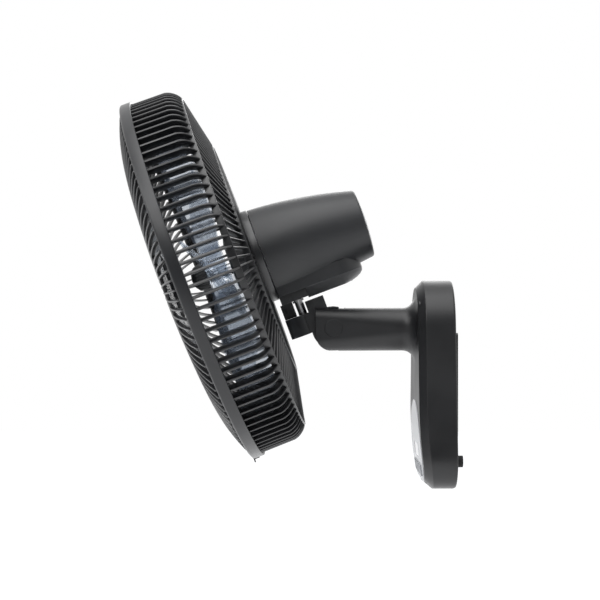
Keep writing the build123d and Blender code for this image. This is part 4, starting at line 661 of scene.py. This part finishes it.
def leaves(count, rows=30, columns=14):
    """The blade's leaves. Along the radius the chord grows from 36 to about 105 mm, the pitch
    falls from the root's to the tip's and the leaf sweeps ahead; across the chord it arches as
    a parabola. The front and rear skins lie a skin apart and meet in thin round edges."""
    root_lap = 4.0 * mm          # the leaves start this far inside the hub's wall
    crowding = 1.7               # rows lie closer towards the tip
    twist = 2.2                  # most of the pitch is lost near the root
    shut = 0.999                 # the tip's corners and the leaf's edges are almost closed
    thinning = 0.9
    out = 1.0 - (1.0 - np.linspace(0.0, 1.0, rows)) ** crowding
    radius = (blade_hub - root_lap) + out * (blade_tip - blade_hub + root_lap)
    chord = np.interp(out, (0, 0.25, 0.5, 0.75, 1.0), (36, 72, 101, 106, 103)) * mm
    pitch = np.radians(root_pitch - (root_pitch - tip_pitch) * (1.0 - (1.0 - out) ** twist))
    sweep = leaf_sweep * out
    corner = np.clip((radius - (blade_tip - tip_corner)) / tip_corner, 0.0, 1.0)
    half = chord / 2 - tip_corner * (1.0 - np.sqrt(1.0 - corner**2 * shut))
    share = np.sin(np.linspace(-0.5, 0.5, columns) * math.pi)
    u = np.concatenate([share, share[::-1]])
    face = np.concatenate([np.full(columns, 0.5), np.full(columns, -0.5)])
    skin_here = leaf_skin * np.sqrt(1.0 - u**6 * thinning)
    along = half[:, None] * u[None, :]
    arch = leaf_camber * (1.0 - u**2)[None, :] * (half * 2 / full_chord)[:, None]
    lift = arch + (face * skin_here)[None, :]
    swing = sweep[:, None] + np.cos(pitch)[:, None] * along - np.sin(pitch)[:, None] * lift
    back = blade_middle + np.sin(pitch)[:, None] * along + np.cos(pitch)[:, None] * lift
    turn = np.arange(count)[:, None, None] * 2 * math.pi / count + math.pi / 2
    angle = turn - (swing / radius[:, None])[None]
    return round_axis(radius[None, :, None], back[None], angle), False


hub_front = 11.0 * mm
hub_rear = 35.0 * mm
hub_bevel = 3.0 * mm
hub_wall = 2.5 * mm
hub_boss = 9.5 * mm
blade_hub_rounding = 0.6 * mm
shaft_hole = 4.0 * mm
blade_hub_outline = softened([
    (shaft_hole, hub_front), (blade_hub - hub_bevel, hub_front), (blade_hub, hub_front + hub_bevel),
    (blade_hub, hub_rear), (blade_hub - hub_wall, hub_rear),
    (blade_hub - hub_wall, hub_front + 2 * hub_wall), (hub_boss, hub_front + hub_wall),
    (hub_boss, hub_rear), (shaft_hole, hub_rear)], blade_hub_rounding)
smoky_blade = new_piece(
    "smoky_blade", [leaves(blade_count), turned_ring(blade_hub_outline, 96)], smoke)
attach(smoky_blade, "rotor")
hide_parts("fan_blade")

# ---------------------------------------------------------------------------
# The nut that holds the blade on the shaft: a domed cone with grips all round,
# moulded in charcoal ABS.
grip_count = 20
grip_depth = 0.05            # each groove takes this share off the radius
grip_inner = 12.0 * mm       # grooves lie outside this radius
nut_radius = 17.0 * mm
nut_back = 10.9 * mm
nut_rounding = 1.0 * mm
bore_end = -6.0 * mm
steps_round = 240
cone_line = softened([
    (0.0, -9.0 * mm), (8.0 * mm, -7.5 * mm), (14.0 * mm, -3.0 * mm), (nut_radius, 7.0 * mm),
    (nut_radius, nut_back), (shaft_hole, nut_back), (shaft_hole, bore_end), (0.0, bore_end)],
    nut_rounding)
grip_turn = np.arange(steps_round) * 2 * math.pi / steps_round
grip_cut = 1.0 - grip_depth * (0.5 + 0.5 * np.cos(grip_turn * grip_count)) ** 4
reach = cone_line[None, :, 0]
grooved = np.where(reach > grip_inner, reach * grip_cut[:, None], reach)
nut_places = round_axis(grooved[None], cone_line[None, None, :, 1], grip_turn[None, :, None])
blade_nut = new_piece("blade_nut", [(nut_places, True)], charcoal)
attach(blade_nut, "rotor")
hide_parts("spinner_nut")
